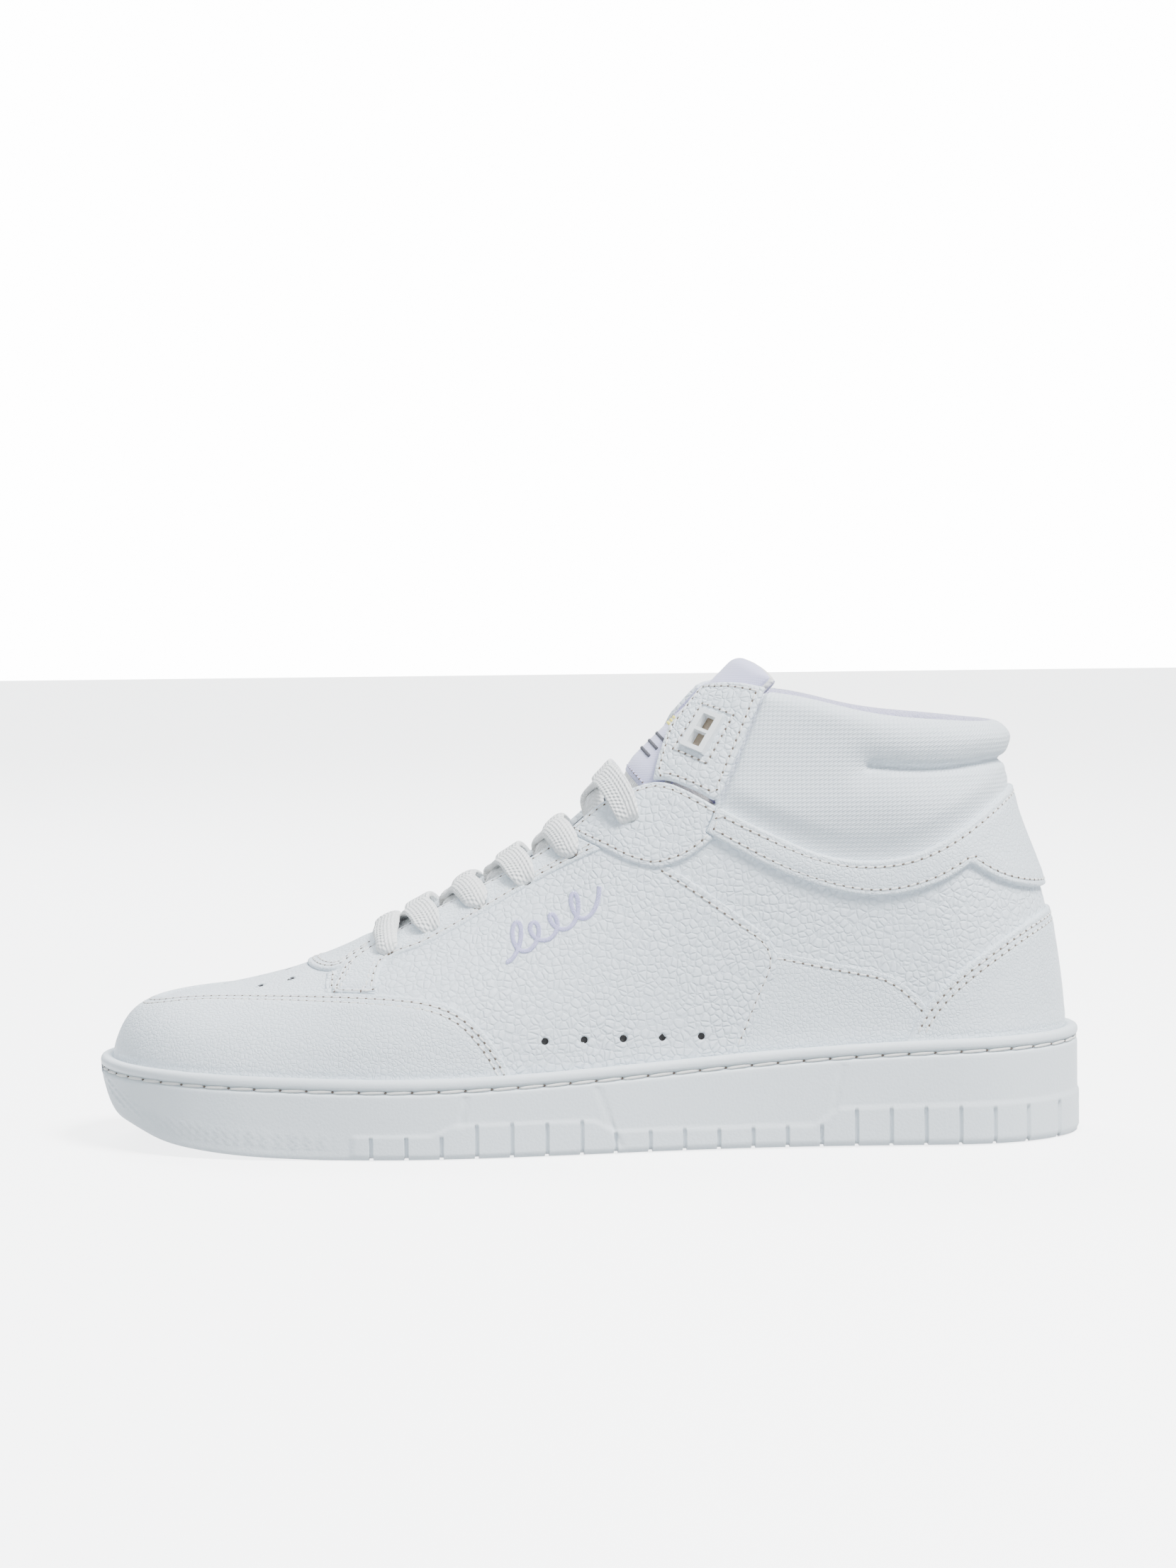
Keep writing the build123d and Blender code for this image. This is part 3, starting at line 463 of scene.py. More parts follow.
def sew(name, lines, body, height=0.0, pitch=2.8, radius=0.34, keep=None, thread="thread", holes=True,
        smoothly=True):
    """Rows of stitches lying on the last, with a dark bead of painted shade for the needle hole between each
    two.
    """
    centres, along = [], []
    for line in lines:
        if smoothly and len(line) > 8:
            core = np.apply_along_axis(lambda c: np.convolve(c, np.ones(5) / 5, "valid"), 0, line)
            line = np.vstack([line[:1], core, line[-1:]])
        mid, ahead = spaced(line, pitch)
        kept = keep(mid) if keep and len(mid) else np.ones(len(mid), bool)
        centres.append(mid[kept])
        along.append(ahead[kept])
    if not sum(map(len, centres)):
        return
    centres, along = np.vstack(centres), np.vstack(along)
    out = normals(centres)
    lift = out * np.reshape(height(centres) if callable(height) else height, (-1, 1))
    slant = unit(along + 0.10 * np.cross(out, along))
    verts, tris = scatter(centres + lift, slant, out, (0.40 * pitch, radius, radius * 0.8))
    make(name + "_stitches", verts, tris, MAT[thread], body)
    if holes:
        # Painted shade: dark beads, sunk a little into the surface, stand for the shade in the needle holes.
        spots = centres + 0.5 * pitch * along
        verts, tris = scatter(spots + lift - 0.05 * out, along, out, (0.46, 0.34, 0.2))
        make(name + "_needle_holes", verts, tris, MAT["hole"], body)


# ---------------------------------------------------------------- materials


class Signal:
    """A number inside a material, with ordinary arithmetic."""

    def __init__(self, look, socket):
        self.look, self.socket = look, socket

    def to(self, operation, other=0.0):
        return Signal(self.look, self.look.add("Math", {0: self, 1: other}, operation=operation).outputs[0])

    def __add__(self, other):
        return self.to("ADD", other)

    def __sub__(self, other):
        return self.to("SUBTRACT", other)

    def __mul__(self, other):
        return self.to("MULTIPLY", other)

    def sine(self):
        return self.to("SINE")

    def size(self):
        return self.to("ABSOLUTE")


class Look:
    """A procedural material under construction."""

    def __init__(self, name):
        self.material = bpy.data.materials.new(name)
        self.material.use_nodes = True
        self.tree = self.material.node_tree
        self.shader = self.tree.nodes["Principled BSDF"]

    def feed(self, socket, value):
        value = getattr(value, "socket", value)
        if hasattr(value, "is_output"):
            self.tree.links.new(value, socket)
        else:
            socket.default_value = value

    def add(self, kind, values=(), **settings):
        node = self.tree.nodes.new("ShaderNode" + kind)
        for key, value in settings.items():
            setattr(node, key, value)
        for key, value in dict(values).items():
            self.feed(node.inputs[key], value)
        return node

    def place(self):
        return self.add("TexCoord").outputs["Object"]

    def lay(self):
        """Where the point lies in the cloth: (round, height) in millimetres."""
        lay = self.add("Attribute", attribute_name="lay").outputs["Vector"]
        parts = self.add("SeparateXYZ", {"Vector": lay}).outputs
        return Signal(self, parts[0]), Signal(self, parts[1])

    def noise(self, vector, scale, detail=2.0, rough=0.5):
        node = self.add("TexNoise", {"Vector": vector, "Scale": scale, "Detail": detail, "Roughness": rough})
        return Signal(self, node.outputs["Fac"])

    def cells(self, vector, scale, feature, smoothness=None):
        values = {"Vector": vector, "Scale": scale}
        if smoothness is not None:
            values["Smoothness"] = smoothness
        return Signal(self, self.add("TexVoronoi", values, feature=feature).outputs["Distance"])

    def tint(self, factor, low, high):
        ramp = self.add("ValToRGB", {"Fac": factor})
        ramp.color_ramp.elements[0].color = (*low, 1)
        ramp.color_ramp.elements[1].color = (*high, 1)
        return ramp.outputs["Color"]

    def bump(self, height, distance, strength):
        values = {"Height": height, "Distance": distance * MM, "Strength": strength}
        return self.add("Bump", values).outputs["Normal"]

    def finish(self, color, roughness, normal=None, specular=0.5, sheen=0.0):
        inputs = self.shader.inputs
        self.feed(inputs["Base Color"], (*color, 1) if isinstance(color, tuple) else color)
        self.feed(inputs["Roughness"], roughness)
        if normal is not None:
            self.feed(inputs["Normal"], normal)
        inputs["Specular IOR Level"].default_value = specular
        inputs["Sheen Weight"].default_value = sheen
        return self.material


# Darker and lighter leather colours: the darker one serves both as random tone and as painted shade in the
# creases.
LEATHER_TONE_AND_SHADE = ((0.70, 0.765, 0.825), (0.765, 0.83, 0.885))
TUMBLED_TONE_AND_SHADE = ((0.67, 0.735, 0.795), (0.79, 0.85, 0.91))


def leather(name, grain, depth, tone_and_shade=LEATHER_TONE_AND_SHADE, roughness=0.48, stray=0.0015):
    """Coated leather: irregular pebbles between fine creases, over a slow unevenness; the creases are painted
    darker as shade.
    """
    look = Look(name)
    place = look.place()
    warp = look.add("TexNoise", {"Vector": place, "Scale": 260.0, "Detail": 2.0}).outputs["Color"]
    mixed = look.add("MixRGB", {"Fac": stray, "Color1": place, "Color2": warp}, blend_type="ADD")
    bent = mixed.outputs["Color"]
    pebbles = look.cells(bent, 1000.0 / grain, "SMOOTH_F1", 0.35)
    creases = (look.cells(bent, 1000.0 / grain, "DISTANCE_TO_EDGE") * 5.0).to("MINIMUM", 1.0)
    fine = look.noise(place, 2600.0, 3.0, 0.6)
    slow = look.noise(place, 45.0, 2.0)
    height = (creases * 0.7 + pebbles * -0.5) * (slow + 0.35) + fine * 0.25
    # Painted shade: the colour is darker in the creases between the pebbles, mixed with a slow random tone.
    color = look.tint(creases * 0.6 + slow * 0.4, *tone_and_shade)
    return look.finish(color, slow * 0.14 + (roughness - 0.05), look.bump(height, depth, 0.9), 0.42)


def canvas(name, low, high, pitch=0.95, depth=0.16):
    """Basket weave on the bias, laid out along the piece."""
    look = Look(name)
    x, y = look.lay()
    turn = math.pi / (pitch * math.sqrt(2))
    warp, weft = ((x + y) * turn).sine(), ((x - y) * turn).sine()
    height = warp * weft * 0.5 + (warp.size() * 0.5 + weft.size() * 0.5)
    height = height + look.noise(look.place(), 3500.0, 3.0, 0.7) * 0.35
    # Painted shade: the colour follows the weave's height, darker down between the threads.
    return look.finish(look.tint(height * 0.75, low, high), 0.85, look.bump(height, depth, 0.8), 0.2, 0.25)


def fuzzy(name, low, high, scale=1500.0, depth=0.5):
    """Looped terry."""
    look = Look(name)
    place = look.place()
    loops = look.cells(place, scale, "SMOOTH_F1", 0.5)
    height = loops * -1.0 + look.noise(place, scale * 2.2, 3.0, 0.7) * 0.6
    # Painted shade: the colour follows the loops' height, darker in the hollows between them.
    return look.finish(look.tint(height + 0.9, low, high), 0.95, look.bump(height, depth, 1.0), 0.1, 0.6)


def ribbed(name, low, high, pitch=1.25, depth=0.6):
    """Flat tubular braid: chevrons along the lace, laid out by (across, along) in millimetres."""
    look = Look(name)
    across, along = look.lay()
    wave = ((along + across.size() * 0.55) * (2 * math.pi / pitch)).sine()
    courses = (across * (2 * math.pi / 1.15)).sine()
    height = wave * 0.5 + courses * 0.4 + look.noise(look.place(), 3000.0, 3.0, 0.7) * 0.6
    # Painted shade: the colour follows the braid's height, darker in its grooves.
    color = look.tint(height * 0.5 + 0.4, low, high)
    return look.finish(color, 0.9, look.bump(height, depth, 0.8), 0.15, 0.4)


def rubber(name, low, high):
    """Moulded rubber with a fine grain."""
    look = Look(name)
    place = look.place()
    height = look.cells(place, 1100.0, "SMOOTH_F1", 0.3) * -0.6 + look.noise(place, 2400.0, 3.0, 0.6) * 0.5
    return look.finish(look.tint(look.noise(place, 30.0), low, high), 0.55, look.bump(height, 0.14, 0.6), 0.4)


def plain(name, color, roughness, scale=0.0, depth=0.1, sheen=0.0):
    look = Look(name)
    normal = look.bump(look.noise(look.place(), scale, 3.0), depth, 0.6) if scale else None
    return look.finish(color, roughness, normal, sheen=sheen)


MAT = {
    "smooth": leather("smooth_leather", 1.25, 0.2),
    "tumbled": leather("tumbled_leather", 2.1, 0.38, TUMBLED_TONE_AND_SHADE, 0.5, 0.0013),
    "canvas": canvas("collar_canvas", (0.64, 0.70, 0.755), (0.84, 0.90, 0.955), 0.95, 0.26),
    "tongue": canvas("tongue_canvas", (0.70, 0.70, 0.70), (0.90, 0.90, 0.89), 1.1, 0.25),
    "terry": fuzzy("terry", (0.44, 0.43, 0.66), (0.66, 0.65, 0.85)),
    "label": canvas("label_satin", (0.52, 0.52, 0.76), (0.66, 0.66, 0.87), 0.45, 0.05),
    "lace": ribbed("lace_braid", (0.90, 0.915, 0.91), (0.98, 0.985, 0.98), depth=0.45),
    "thread": plain("thread", (0.80, 0.80, 0.79), 0.7, 4000.0, 0.05, sheen=0.2),
    "sole_thread": plain("sole_thread", (0.80, 0.79, 0.76), 0.7, 4000.0, 0.05, sheen=0.2),
    "lilac_thread": plain("lilac_thread", (0.50, 0.49, 0.76), 0.45, 5000.0, 0.06, sheen=0.3),
    "yellow_thread": plain("yellow_thread", (0.80, 0.72, 0.10), 0.5, 5000.0, 0.06, sheen=0.3),
    # Painted shade in the needle holes.
    "hole": plain("painted_needle_hole_shade", (0.13, 0.105, 0.085), 0.9),
    "bar": plain("label_dark_weave", (0.06, 0.06, 0.075), 0.6, 4000.0, 0.05),
    # Painted shade inside the punched holes and eyelets.
    "dark": plain("hole_inside_painted_shade", (0.07, 0.07, 0.07), 0.9),
    "rubber": rubber("white_rubber", (0.72, 0.775, 0.82), (0.78, 0.835, 0.875)),
    "plastic": plain("eyelet_plastic", (0.82, 0.855, 0.88), 0.35, 900.0, 0.02),
    "lining": fuzzy("lining_fabric", (0.74, 0.73, 0.71), (0.84, 0.83, 0.81), 2200.0, 0.15),
    "foam": plain("foam", (0.80, 0.79, 0.74), 0.9, 1800.0, 0.3),
    "raw": plain("raw_leather", (0.34, 0.27, 0.20), 0.95, 1800.0, 0.2),
    "board": plain("board", (0.70, 0.66, 0.58), 0.9, 1500.0, 0.1),
}

# ---------------------------------------------------------------- outlines of the pieces

FAR = 170
SHAPES = {
    "mudguard": outline(MUDGUARD_EDGE, [MUDGUARD_EDGE[-1], (-23.5, -20)], [(-160, -20), (-160, 36)]),
    "counter": outline(COUNTER_EDGE, [(150, 71), (FAR, 71)], [(FAR, -10), (80, -10)], [(80, -10), (89, 22)]),
    "band": outline(BAND_TOP, [(FAR, 113), (FAR, 74)], BAND_TAB[::-1], BAND_LOW[::-1],
                    [BAND_LOW[0], BAND_TOP[0]]),
    "eyestay": outline(EYESTAY_FRONT[::-1], [EYESTAY_FRONT[0], (-72.5, 130)], [(-12, 130), (12, 84)],
                       [(12, 84), EYESTAY_EDGE[-1]], EYESTAY_EDGE[::-1]),
    "ankle": outline(ANKLE_LOW, ANKLE_REAR, ANKLE_TOP[::-1], [ANKLE_TOP[0], ANKLE_LOW[0]]),
    "quarter": outline([(-84, -20), (-72, FAR)], [(4, FAR), ANKLE_TOP[1]], ANKLE_TOP[1:4],
                       [(22, 108), QUARTER_REAR[0]], QUARTER_REAR, [QUARTER_REAR[-1], (30, -10)]),
    "rear": outline([(36, -10), (42, 62)], [(42, 62), (12, 84)], [(12, 84), (14, 104)],
                    [ANKLE_TOP[-1], BAND_TOP[1]], BAND_TOP[1:], [(FAR, 113), (FAR, -10)],
                    [(FAR, -10), (30, -10)]),
    "foxing": outline([(30, -10), (46, 57)], [(46, 60), FOXING_TOP[0]], FOXING_TOP,
                      [FOXING_TOP[-1], (120, 38)], [(120, -10), (30, -10)]),
    "vamp": outline([(-FAR, -10), (-FAR, FAR)], [(-60, FAR), (-60, 50)], [(-60, 50), (-66, -10)]),
    "canvas": outline([(52.0, 137.4), (37.0, 102.3)], [(37.0, 102.3), (46, 92)], [(46, 92), (60, 84)],
                      [(60, 84), (80, 78)], [(80, 78), (105, 82)], [(105, 82), (FAR, 105)],
                      [(FAR, 125.8), (140, 125.8)], RIM[::-1]),
    "terry": outline([(52.0, 137.4), (37.0, 102.3)], [(37.0, 102.3), (46, 92)], [(46, 92), (62, 84)],
                     [(62, 84), (85, 79)], [(85, 79), (110, 83)], [(110, 83), (FAR, 95)],
                     [(FAR, 125.8), (140, 125.8)], RIM[::-1]),
    "flap": outline(FLAP_FRONT, FLAP_TOP, FLAP_REAR, FLAP_FOOT),
}
throat_half = natural(THROAT)


def throat(extra=0.0):
    """The open throat seen from above."""
    start, broad = THROAT[0]
    turn = np.linspace(0.0, np.pi / 2, 9)[:-1]
    nose = [(start - (start - TONGUE_TOE + extra) * np.cos(t), (broad + extra) * np.sin(t)) for t in turn]
    edge = nose + [(x, float(throat_half(x)) + extra) for x in np.linspace(start, THROAT[-1][0], 30)]
    edge.append((60, 22))
    near = [(x, float(middle(x)) - w) for x, w in edge]
    far = [(x, float(middle(x)) + w) for x, w in edge[1:]]
    return np.array(near + far[::-1])


THROAT_PLAN = throat()


class Field:
    """Distance inside a piece: the least of its outlines'."""

    def __init__(self, *sides, off_throat=False, half_of=0, lip=True):
        self.sides, self.off_throat, self.half_of, self.lip = sides, off_throat, half_of, lip

    def __call__(self, p):
        value = np.full(len(p), 12.0)
        for sign, name in self.sides:
            value = np.minimum(value, sign * inset(p, SHAPES[name]))
        if self.off_throat:
            value = np.minimum(value, -inset(p, THROAT_PLAN, "plan"))
        if self.half_of:
            value = np.minimum(value, self.half_of * (p[:, 1] - middle(p[:, 0])) + 0.02)
        return np.minimum(value, p[:, 2] - lip_top(p[:, 0]) + 3.0) if self.lip else value


EDGE_INSET, EDGE_SHARE = (0.0, 0.06, 0.28, 0.7), (-0.7, 0.45, 0.84, 1.0)   # share of the thickness
HOLE_ROWS = (0.0, 0.25, 0.6)
SKIN_BUMPS = 0.13


def edge_height(value, base, thick, dips):
    """Height over the last at a distance inside the piece: a cut edge, then flat, pulled in at the rows."""
    high = np.where(value < 0.02, base - 0.7, base + thick * np.interp(value, EDGE_INSET, EDGE_SHARE))
    for row in dips:
        high -= 0.16 * np.exp(-((value - row) / 0.55) ** 2)
        high += 0.10 * np.exp(-((value - row - 2.6) / 1.6) ** 2)
    return high


def uneven(p, size, pitch=23.0):
    """Slow unevenness of a hand-lasted skin."""
    x, y, z = p[:, :3].T / pitch
    wave = np.sin(x * 1.3 + 0.7 * np.sin(2.1 * z)) * np.sin(z * 1.7 + y)
    return size * (wave + 0.6 * np.sin(2.9 * x - 1.4 * z + y))


def tangent(out):
    """A direction along the surface at a hole, and the one across it."""
    side = np.cross(out, [1.0, 0.1, 0.2])
    side /= np.linalg.norm(side)
    return side, np.cross(out, side)


def near_holes(p, tris, spots, fields, radius):
    """Refines the mesh round hole centres and returns the distance to the nearest hole's edge."""
    for spot, out in spots:
        side, up = tangent(out)
        for turn in np.linspace(0, np.pi, 8, endpoint=False):
            away = p[:, :3] - spot
            close = np.linalg.norm(away, axis=1) < 2.0 * radius + 1.2
            plane = np.where(close, away @ (math.cos(turn) * side + math.sin(turn) * up), 60.0)
            p, tris, _, fields = split(p, tris, plane, 0.0, fields)
    gap = np.full(len(p), 50.0)
    for spot, out in spots:
        away = p[:, :3] - spot
        r = np.linalg.norm(away - (away @ out)[:, None] * out, axis=1)
        gap = np.minimum(gap, np.where(np.linalg.norm(away, axis=1) < 9, r, 60.0) - radius)
    return p, tris, gap, fields


def panel(name, field, material, base=0.0, thick=1.3, rows=(), nodes=(), spots=(),
          radius=1.0):
    """One leather piece: cut from the last, with a cut edge, dips along its stitch rows and holes."""
    levels = sorted(set(EDGE_INSET + tuple(row + s for row in rows for s in (-0.6, 0, 0.6))))
    part = cut_out(field, levels, spots, radius)
    p, _, value, _, gap = part
    high = edge_height(value, base, thick, rows) + uneven(p, SKIN_BUMPS) * np.clip(value / 3, 0, 1)
    high -= 0.5 * np.clip(1 - gap / 0.6, 0, 1) ** 2
    skin(name, part, high, MAT[material], "shoe", nodes)
    return part


def rows_of(name, part, rows, top, keep):
    """Stitches along contours of a piece; rows are (inset, field), or no field for the piece's own."""
    p, tris, value, *_ = part
    for number, (at, field) in enumerate(rows):
        lines = contour(p, tris, field(p) if field else value, at)
        sew(f"{name}_row{number + 1}", lines, "shoe", top, keep=keep)


def clear_of(*names, plan=False):
    """Keeps stitches that are above the lip and not under the named pieces."""
    def keep(points):
        ok = points[:, 2] > lip_top(points[:, 0]) + 0.8
        for name in names:
            ok &= inset(points, SHAPES[name]) < -0.48
        if plan:
            ok &= inset(points, THROAT_PLAN, "plan") < -0.8
        return ok
    return keep

# ---------------------------------------------------------------- base panels and overlays


def hole_spots(places, plan=False, sides=(-1, 1)):
    spots = []
    for x, v in places:
        for s in sides:
            point = on_top(x, s * v if plan else v) if plan else on_side(x, v, s)
            spots.append((point[0], normals(point)[0]))
    return spots


def cups(name, spots, radius, depth, high=0.0):
    """Inside of the punched holes and eyelets, painted near-black as the shade down in them."""
    verts, faces = [], []
    n = 16
    for spot, out in spots:
        side, up = tangent(out)
        first = len(verts)
        for r, d in ((radius * 1.02, high - 0.25), (radius * 0.98, high - depth), (0.0, high - depth)):
            for turn in np.linspace(0, 2 * np.pi, n, endpoint=False):
                verts.append(spot + r * (math.cos(turn) * side + math.sin(turn) * up) + d * out)
        for k in range(2 * n):
            a, b = first + k, first + k // n * n + (k + 1) % n
            faces.append((a, b, b + n, a + n))
    make(name, verts, faces, MAT["dark"], "shoe")


QUARTER_D, FOX_D, ROW_SINK = 0.5, 0.22, 0.08   # thickness shown; how far stitches sink in
SIDES = (("lateral", -1), ("medial", 1))
EYELET_SPOTS = hole_spots(EYELETS, plan=True)
LOW_EYELETS = EYELET_SPOTS[:10]
HIGH_EYELETS = EYELET_SPOTS[10:]

vamp_spots = hole_spots(VAMP_HOLES, plan=True, sides=(1,))
panel("vamp_leather", Field((1, "vamp"), off_throat=True), "smooth", -0.1, 0.1, nodes=["vamp"],
      spots=vamp_spots, radius=1.2)
cups("vamp_perforations", vamp_spots, 1.2, 1.0)

for side, sign in SIDES:
    panel(f"rear_quarter_leather_{side}", Field((1, "rear"), half_of=sign), "tumbled", -0.1, 0.1,
          nodes=[f"rear_quarter_{side}"])
    part = panel(f"foxing_leather_{side}", Field((1, "foxing"), half_of=sign), "smooth", 0.0, FOX_D, (1.9,),
                 [f"foxing_{side}"])
    rows_of(f"foxing_{side}", part, [(1.9, Field((1, "foxing"), lip=False))], FOX_D - ROW_SINK,
            clear_of("quarter", "counter"))
    spots = hole_spots(QUARTER_HOLES, sides=(sign,))
    part = panel(f"quarter_leather_{side}", Field((1, "quarter"), off_throat=True, half_of=sign), "tumbled",
                 0.0, QUARTER_D, (2.2,), [f"quarter_{side}"], spots, 1.05)
    rows_of(f"quarter_{side}", part, [(2.2, Field((1, "quarter"), lip=False))], QUARTER_D - ROW_SINK,
            clear_of("mudguard", "eyestay", "ankle", "band", plan=True))
    cups(f"quarter_perforations_{side}", spots, 1.0, 1.2, high=QUARTER_D)

for name, shape, node, rows in (("toe_mudguard", "mudguard", "toe_mudguard", (1.9, 3.6)),
                                ("heel_counter", "counter", "heel_counter_cover", (2.0, 3.9))):
    part = panel(name + "_leather", Field((1, shape)), "smooth", 0.0, 1.2, rows, [node])
    rows_of(name, part, [(at, Field((1, shape), lip=False)) for at in rows], 1.2 - ROW_SINK, clear_of())

part = panel("collar_band_leather", Field((1, "band")), "smooth", 0.2, 1.7, (2.0,), ["collar_band"])
rows_of("collar_band", part, [(2.0, None)], 1.9 - ROW_SINK, clear_of())

for side, sign in SIDES:
    spots = [s for k, s in enumerate(LOW_EYELETS) if (k % 2 == 0) == (sign < 0)]
    part = panel(f"eyestay_leather_{side}",
                 Field((1, "eyestay"), (-1, "mudguard"), (-1, "ankle"), off_throat=True, half_of=sign),
                 "smooth", 0.3, 1.0, (1.6,), [f"eyestay_{side}"], spots=spots, radius=2.3)
    rows_of(f"eyestay_{side}", part, [(1.6, Field((1, "eyestay"), off_throat=True, half_of=sign)),
                                      (3.0, Field((1, "eyestay"), half_of=sign))], 1.3 - ROW_SINK,
            clear_of("mudguard", "ankle", plan=True))
    cups(f"eyelets_{side}", spots, 2.3, 3.2, high=1.2)
    spots = [HIGH_EYELETS[0 if sign < 0 else 1]]
    part = panel(f"ankle_panel_leather_{side}",
                 Field((1, "ankle"), (-1, "band"), off_throat=True, half_of=sign),
                 "tumbled", 0.3, 1.2, (1.7,), [f"ankle_panel_{side}"], spots, 2.3)
    rows_of(f"ankle_panel_{side}", part, [(1.7, Field((1, "ankle"), off_throat=True, half_of=sign))],
            1.5 - ROW_SINK, clear_of("band", plan=True))
    cups(f"top_eyelet_{side}", spots, 2.3, 3.2, high=1.4)

# ---------------------------------------------------------------- padded collar

COLLAR_MID, COLLAR_IN, COLLAR_FOOT = -4.0, -8.4, -3.6   # heights over the last


def roll(value, radius):
    """Quarter circle from 0 at the edge to 1 at the radius."""
    return np.sqrt(1 - (1 - np.clip(value / radius, 0, 1)) ** 2)


def collar_shape(p):
    """Outer height of the padded collar, with its stitched crease and the pull at its seams."""
    rim = np.clip(inset(p, SHAPES["canvas"]), 0, 12)
    x, z = p[:, 0], p[:, 2]
    crease_z = np.interp(x, *CREASE_LINE.T)
    gap = np.hypot(np.maximum(CREASE[0][0] - x, 0), z - crease_z)
    edge_pull = smooth(np.clip(-inset(p, SHAPES["band"]), 0, 12) / 9) * smooth(rim / 6)
    fat = 1.1 * np.exp(-((z - crease_z - 6.5) / 5.0) ** 2) * smooth((x - 70) / 25)
    belly = 1.3 * np.exp(-((z - 101) / 9.0) ** 2)
    fold = 2.3 * np.exp(-(gap / 1.3) ** 2) + 1.7 * np.exp(-(gap / 5.5) ** 2)
    return 0.2 + (0.9 + fat + belly) * edge_pull - fold * smooth(edge_pull * 2)


CREASE_LINE = through(CREASE, 1.0)
RIM_UP = outline(RIM, [(FAR, 125.8), (FAR, FAR)], [(FAR, FAR), (44, FAR)], [(44, FAR), (44, 138)])
ROLL_ROWS = (0.0, 0.08, 0.3, 0.7, 1.2, 1.9, 2.8, 4.0)


SEAM_STRIP = outline([(54.6, 140.4), (38.6, 102.0)], [(38.6, 102.0), (24, 68)], [(24, 68), (FAR, 0)],
                     [(FAR, 0), (FAR, FAR)], [(FAR, FAR), (62, FAR)])


def collar_sheet(name, shape, inner, material, nodes):
    """One side of the padded collar, from the middle of its rolled rim down."""
    part = cut_out(lambda q: inset(q, SHAPES[shape]), ROLL_ROWS)
    p, _, value, *_ = part
    top = np.clip(-inset(p, RIM_UP), 0, 12)
    full = COLLAR_IN if inner else collar_shape(p)
    high = np.where(top > 11.9, full, COLLAR_MID + (full - COLLAR_MID) * roll(top, 4.0))
    if inner:
        high = COLLAR_FOOT + (high - COLLAR_FOOT) * np.where(top < 5, 1, smooth(np.clip(value, 0, 6) / 5))
    else:
        high -= 1.7 * (1 - smooth((np.clip(inset(p, SEAM_STRIP), -3, 12) + 0.2) / 1.6))
    high += uneven(p, 0.12, 11.0 if inner else 17.0)
    skin(name, part, high, MAT[material], "shoe", nodes, inner)


collar_sheet("collar_padding", "canvas", False, "canvas", ["collar_canvas", "collar_foam"])
collar_sheet("collar_lining", "terry", True, "terry", ["collar_terry"])
for side, sign in SIDES:
    line = through(CREASE, 0.8)
    line = line[line[:, 0] < 127.6]
    sew(f"collar_crease_{side}", [on_side(*line.T, sign)], "shoe", -3.1, 2.6,
        thread="sole_thread", holes=False)

# ---------------------------------------------------------------- ankle flaps


FLAP_ROWS = (0.0, 0.1, 0.35, 0.8, 1.3, 1.9, 2.5, 3.4)
SLIT = np.array([(0, -16), (26, -12), (40, -5), (60, -5), (60, 1), (40, 1), (26, 6), (0, 10)], float)


class Frame:
    """Rectangles round an eyelet frame, in its own leaning plane."""

    def __init__(self, sign):
        spot = on_side(*FRAME_AT, sign)
        self.spot, normal = spot[0, :3], normals(spot)[0]
        lean = math.radians(FRAME_LEAN)
        up = np.array([math.sin(lean), 0, math.cos(lean)])
        up -= normal * (up @ normal)
        self.up = up / np.linalg.norm(up)
        self.along = np.cross(self.up, normal)

    def inside(self, q, half_w, half_h):
        away = q[:, :3] - self.spot
        near = np.minimum(half_w - np.abs(away @ self.along), half_h - np.abs(away @ self.up))
        return np.where(np.linalg.norm(away, axis=1) < 16, near, -12.0)

    def loop(self, half_w, half_h):
        corners = [(-1, -1), (1, -1), (1, 1), (-1, 1), (-1, -1)]
        points = [self.spot + self.along * u * half_w + self.up * v * half_h for u, v in corners]
        return settle(through(points, 0.8, straight=True))


def flap(side, sign):
    """Leather outside, terry inside, closed round the edge."""
    eyelet = Frame(sign)

    def field(q):
        value = np.minimum(inset(q, SHAPES["flap"]), sign * (q[:, 1] - middle(q[:, 0])) - 1.0)
        return np.minimum(np.minimum(value, -inset(q, SLIT, "plan")), -eyelet.inside(q, 4.0, 6.1))

    body, edge = f"flap_{side}", -0.3
    part = cut_out(field, FLAP_ROWS)
    p, tris, value, *_ = part
    high = edge + 1.25 * roll(value, 1.1) - 0.16 * np.exp(-((value - 1.9) / 0.5) ** 2)
    high += 0.25 * smooth((value - 2) / 5) + uneven(p, 0.08, 13.0) * smooth(value / 3)
    skin(f"flap_leather_{side}", part, high, MAT["tumbled"], body, [f"ankle_flap_{side}"])
    skin(f"flap_lining_{side}", part, edge - 0.95 * roll(value, 1.2), MAT["terry"], body, inner=True)
    sew(body, contour(p, tris, value, 1.9, least=12), body, 0.92, 2.6,
        keep=lambda c: eyelet.inside(c, 7.0, 9.2) < 0)
    sew(f"flap_frame_{side}", [eyelet.loop(6.2, 8.4)], body, 1.1, 2.3, smoothly=False)
    part = cut_out(lambda q: eyelet.inside(q, 4.4, 6.5), (0.0,))
    skin(f"flap_backing_{side}", part, np.full(len(part[0]), edge - 0.7), MAT["raw"], body)
    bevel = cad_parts[f"eyelet_frame_{side}"].modifiers.new("softened", "BEVEL")
    bevel.width, bevel.segments, bevel.limit_method = 0.00035, 2, "ANGLE"
    bevel.angle_limit = math.radians(40)


for side, sign in SIDES:
    flap(side, sign)

# ---------------------------------------------------------------- tongue

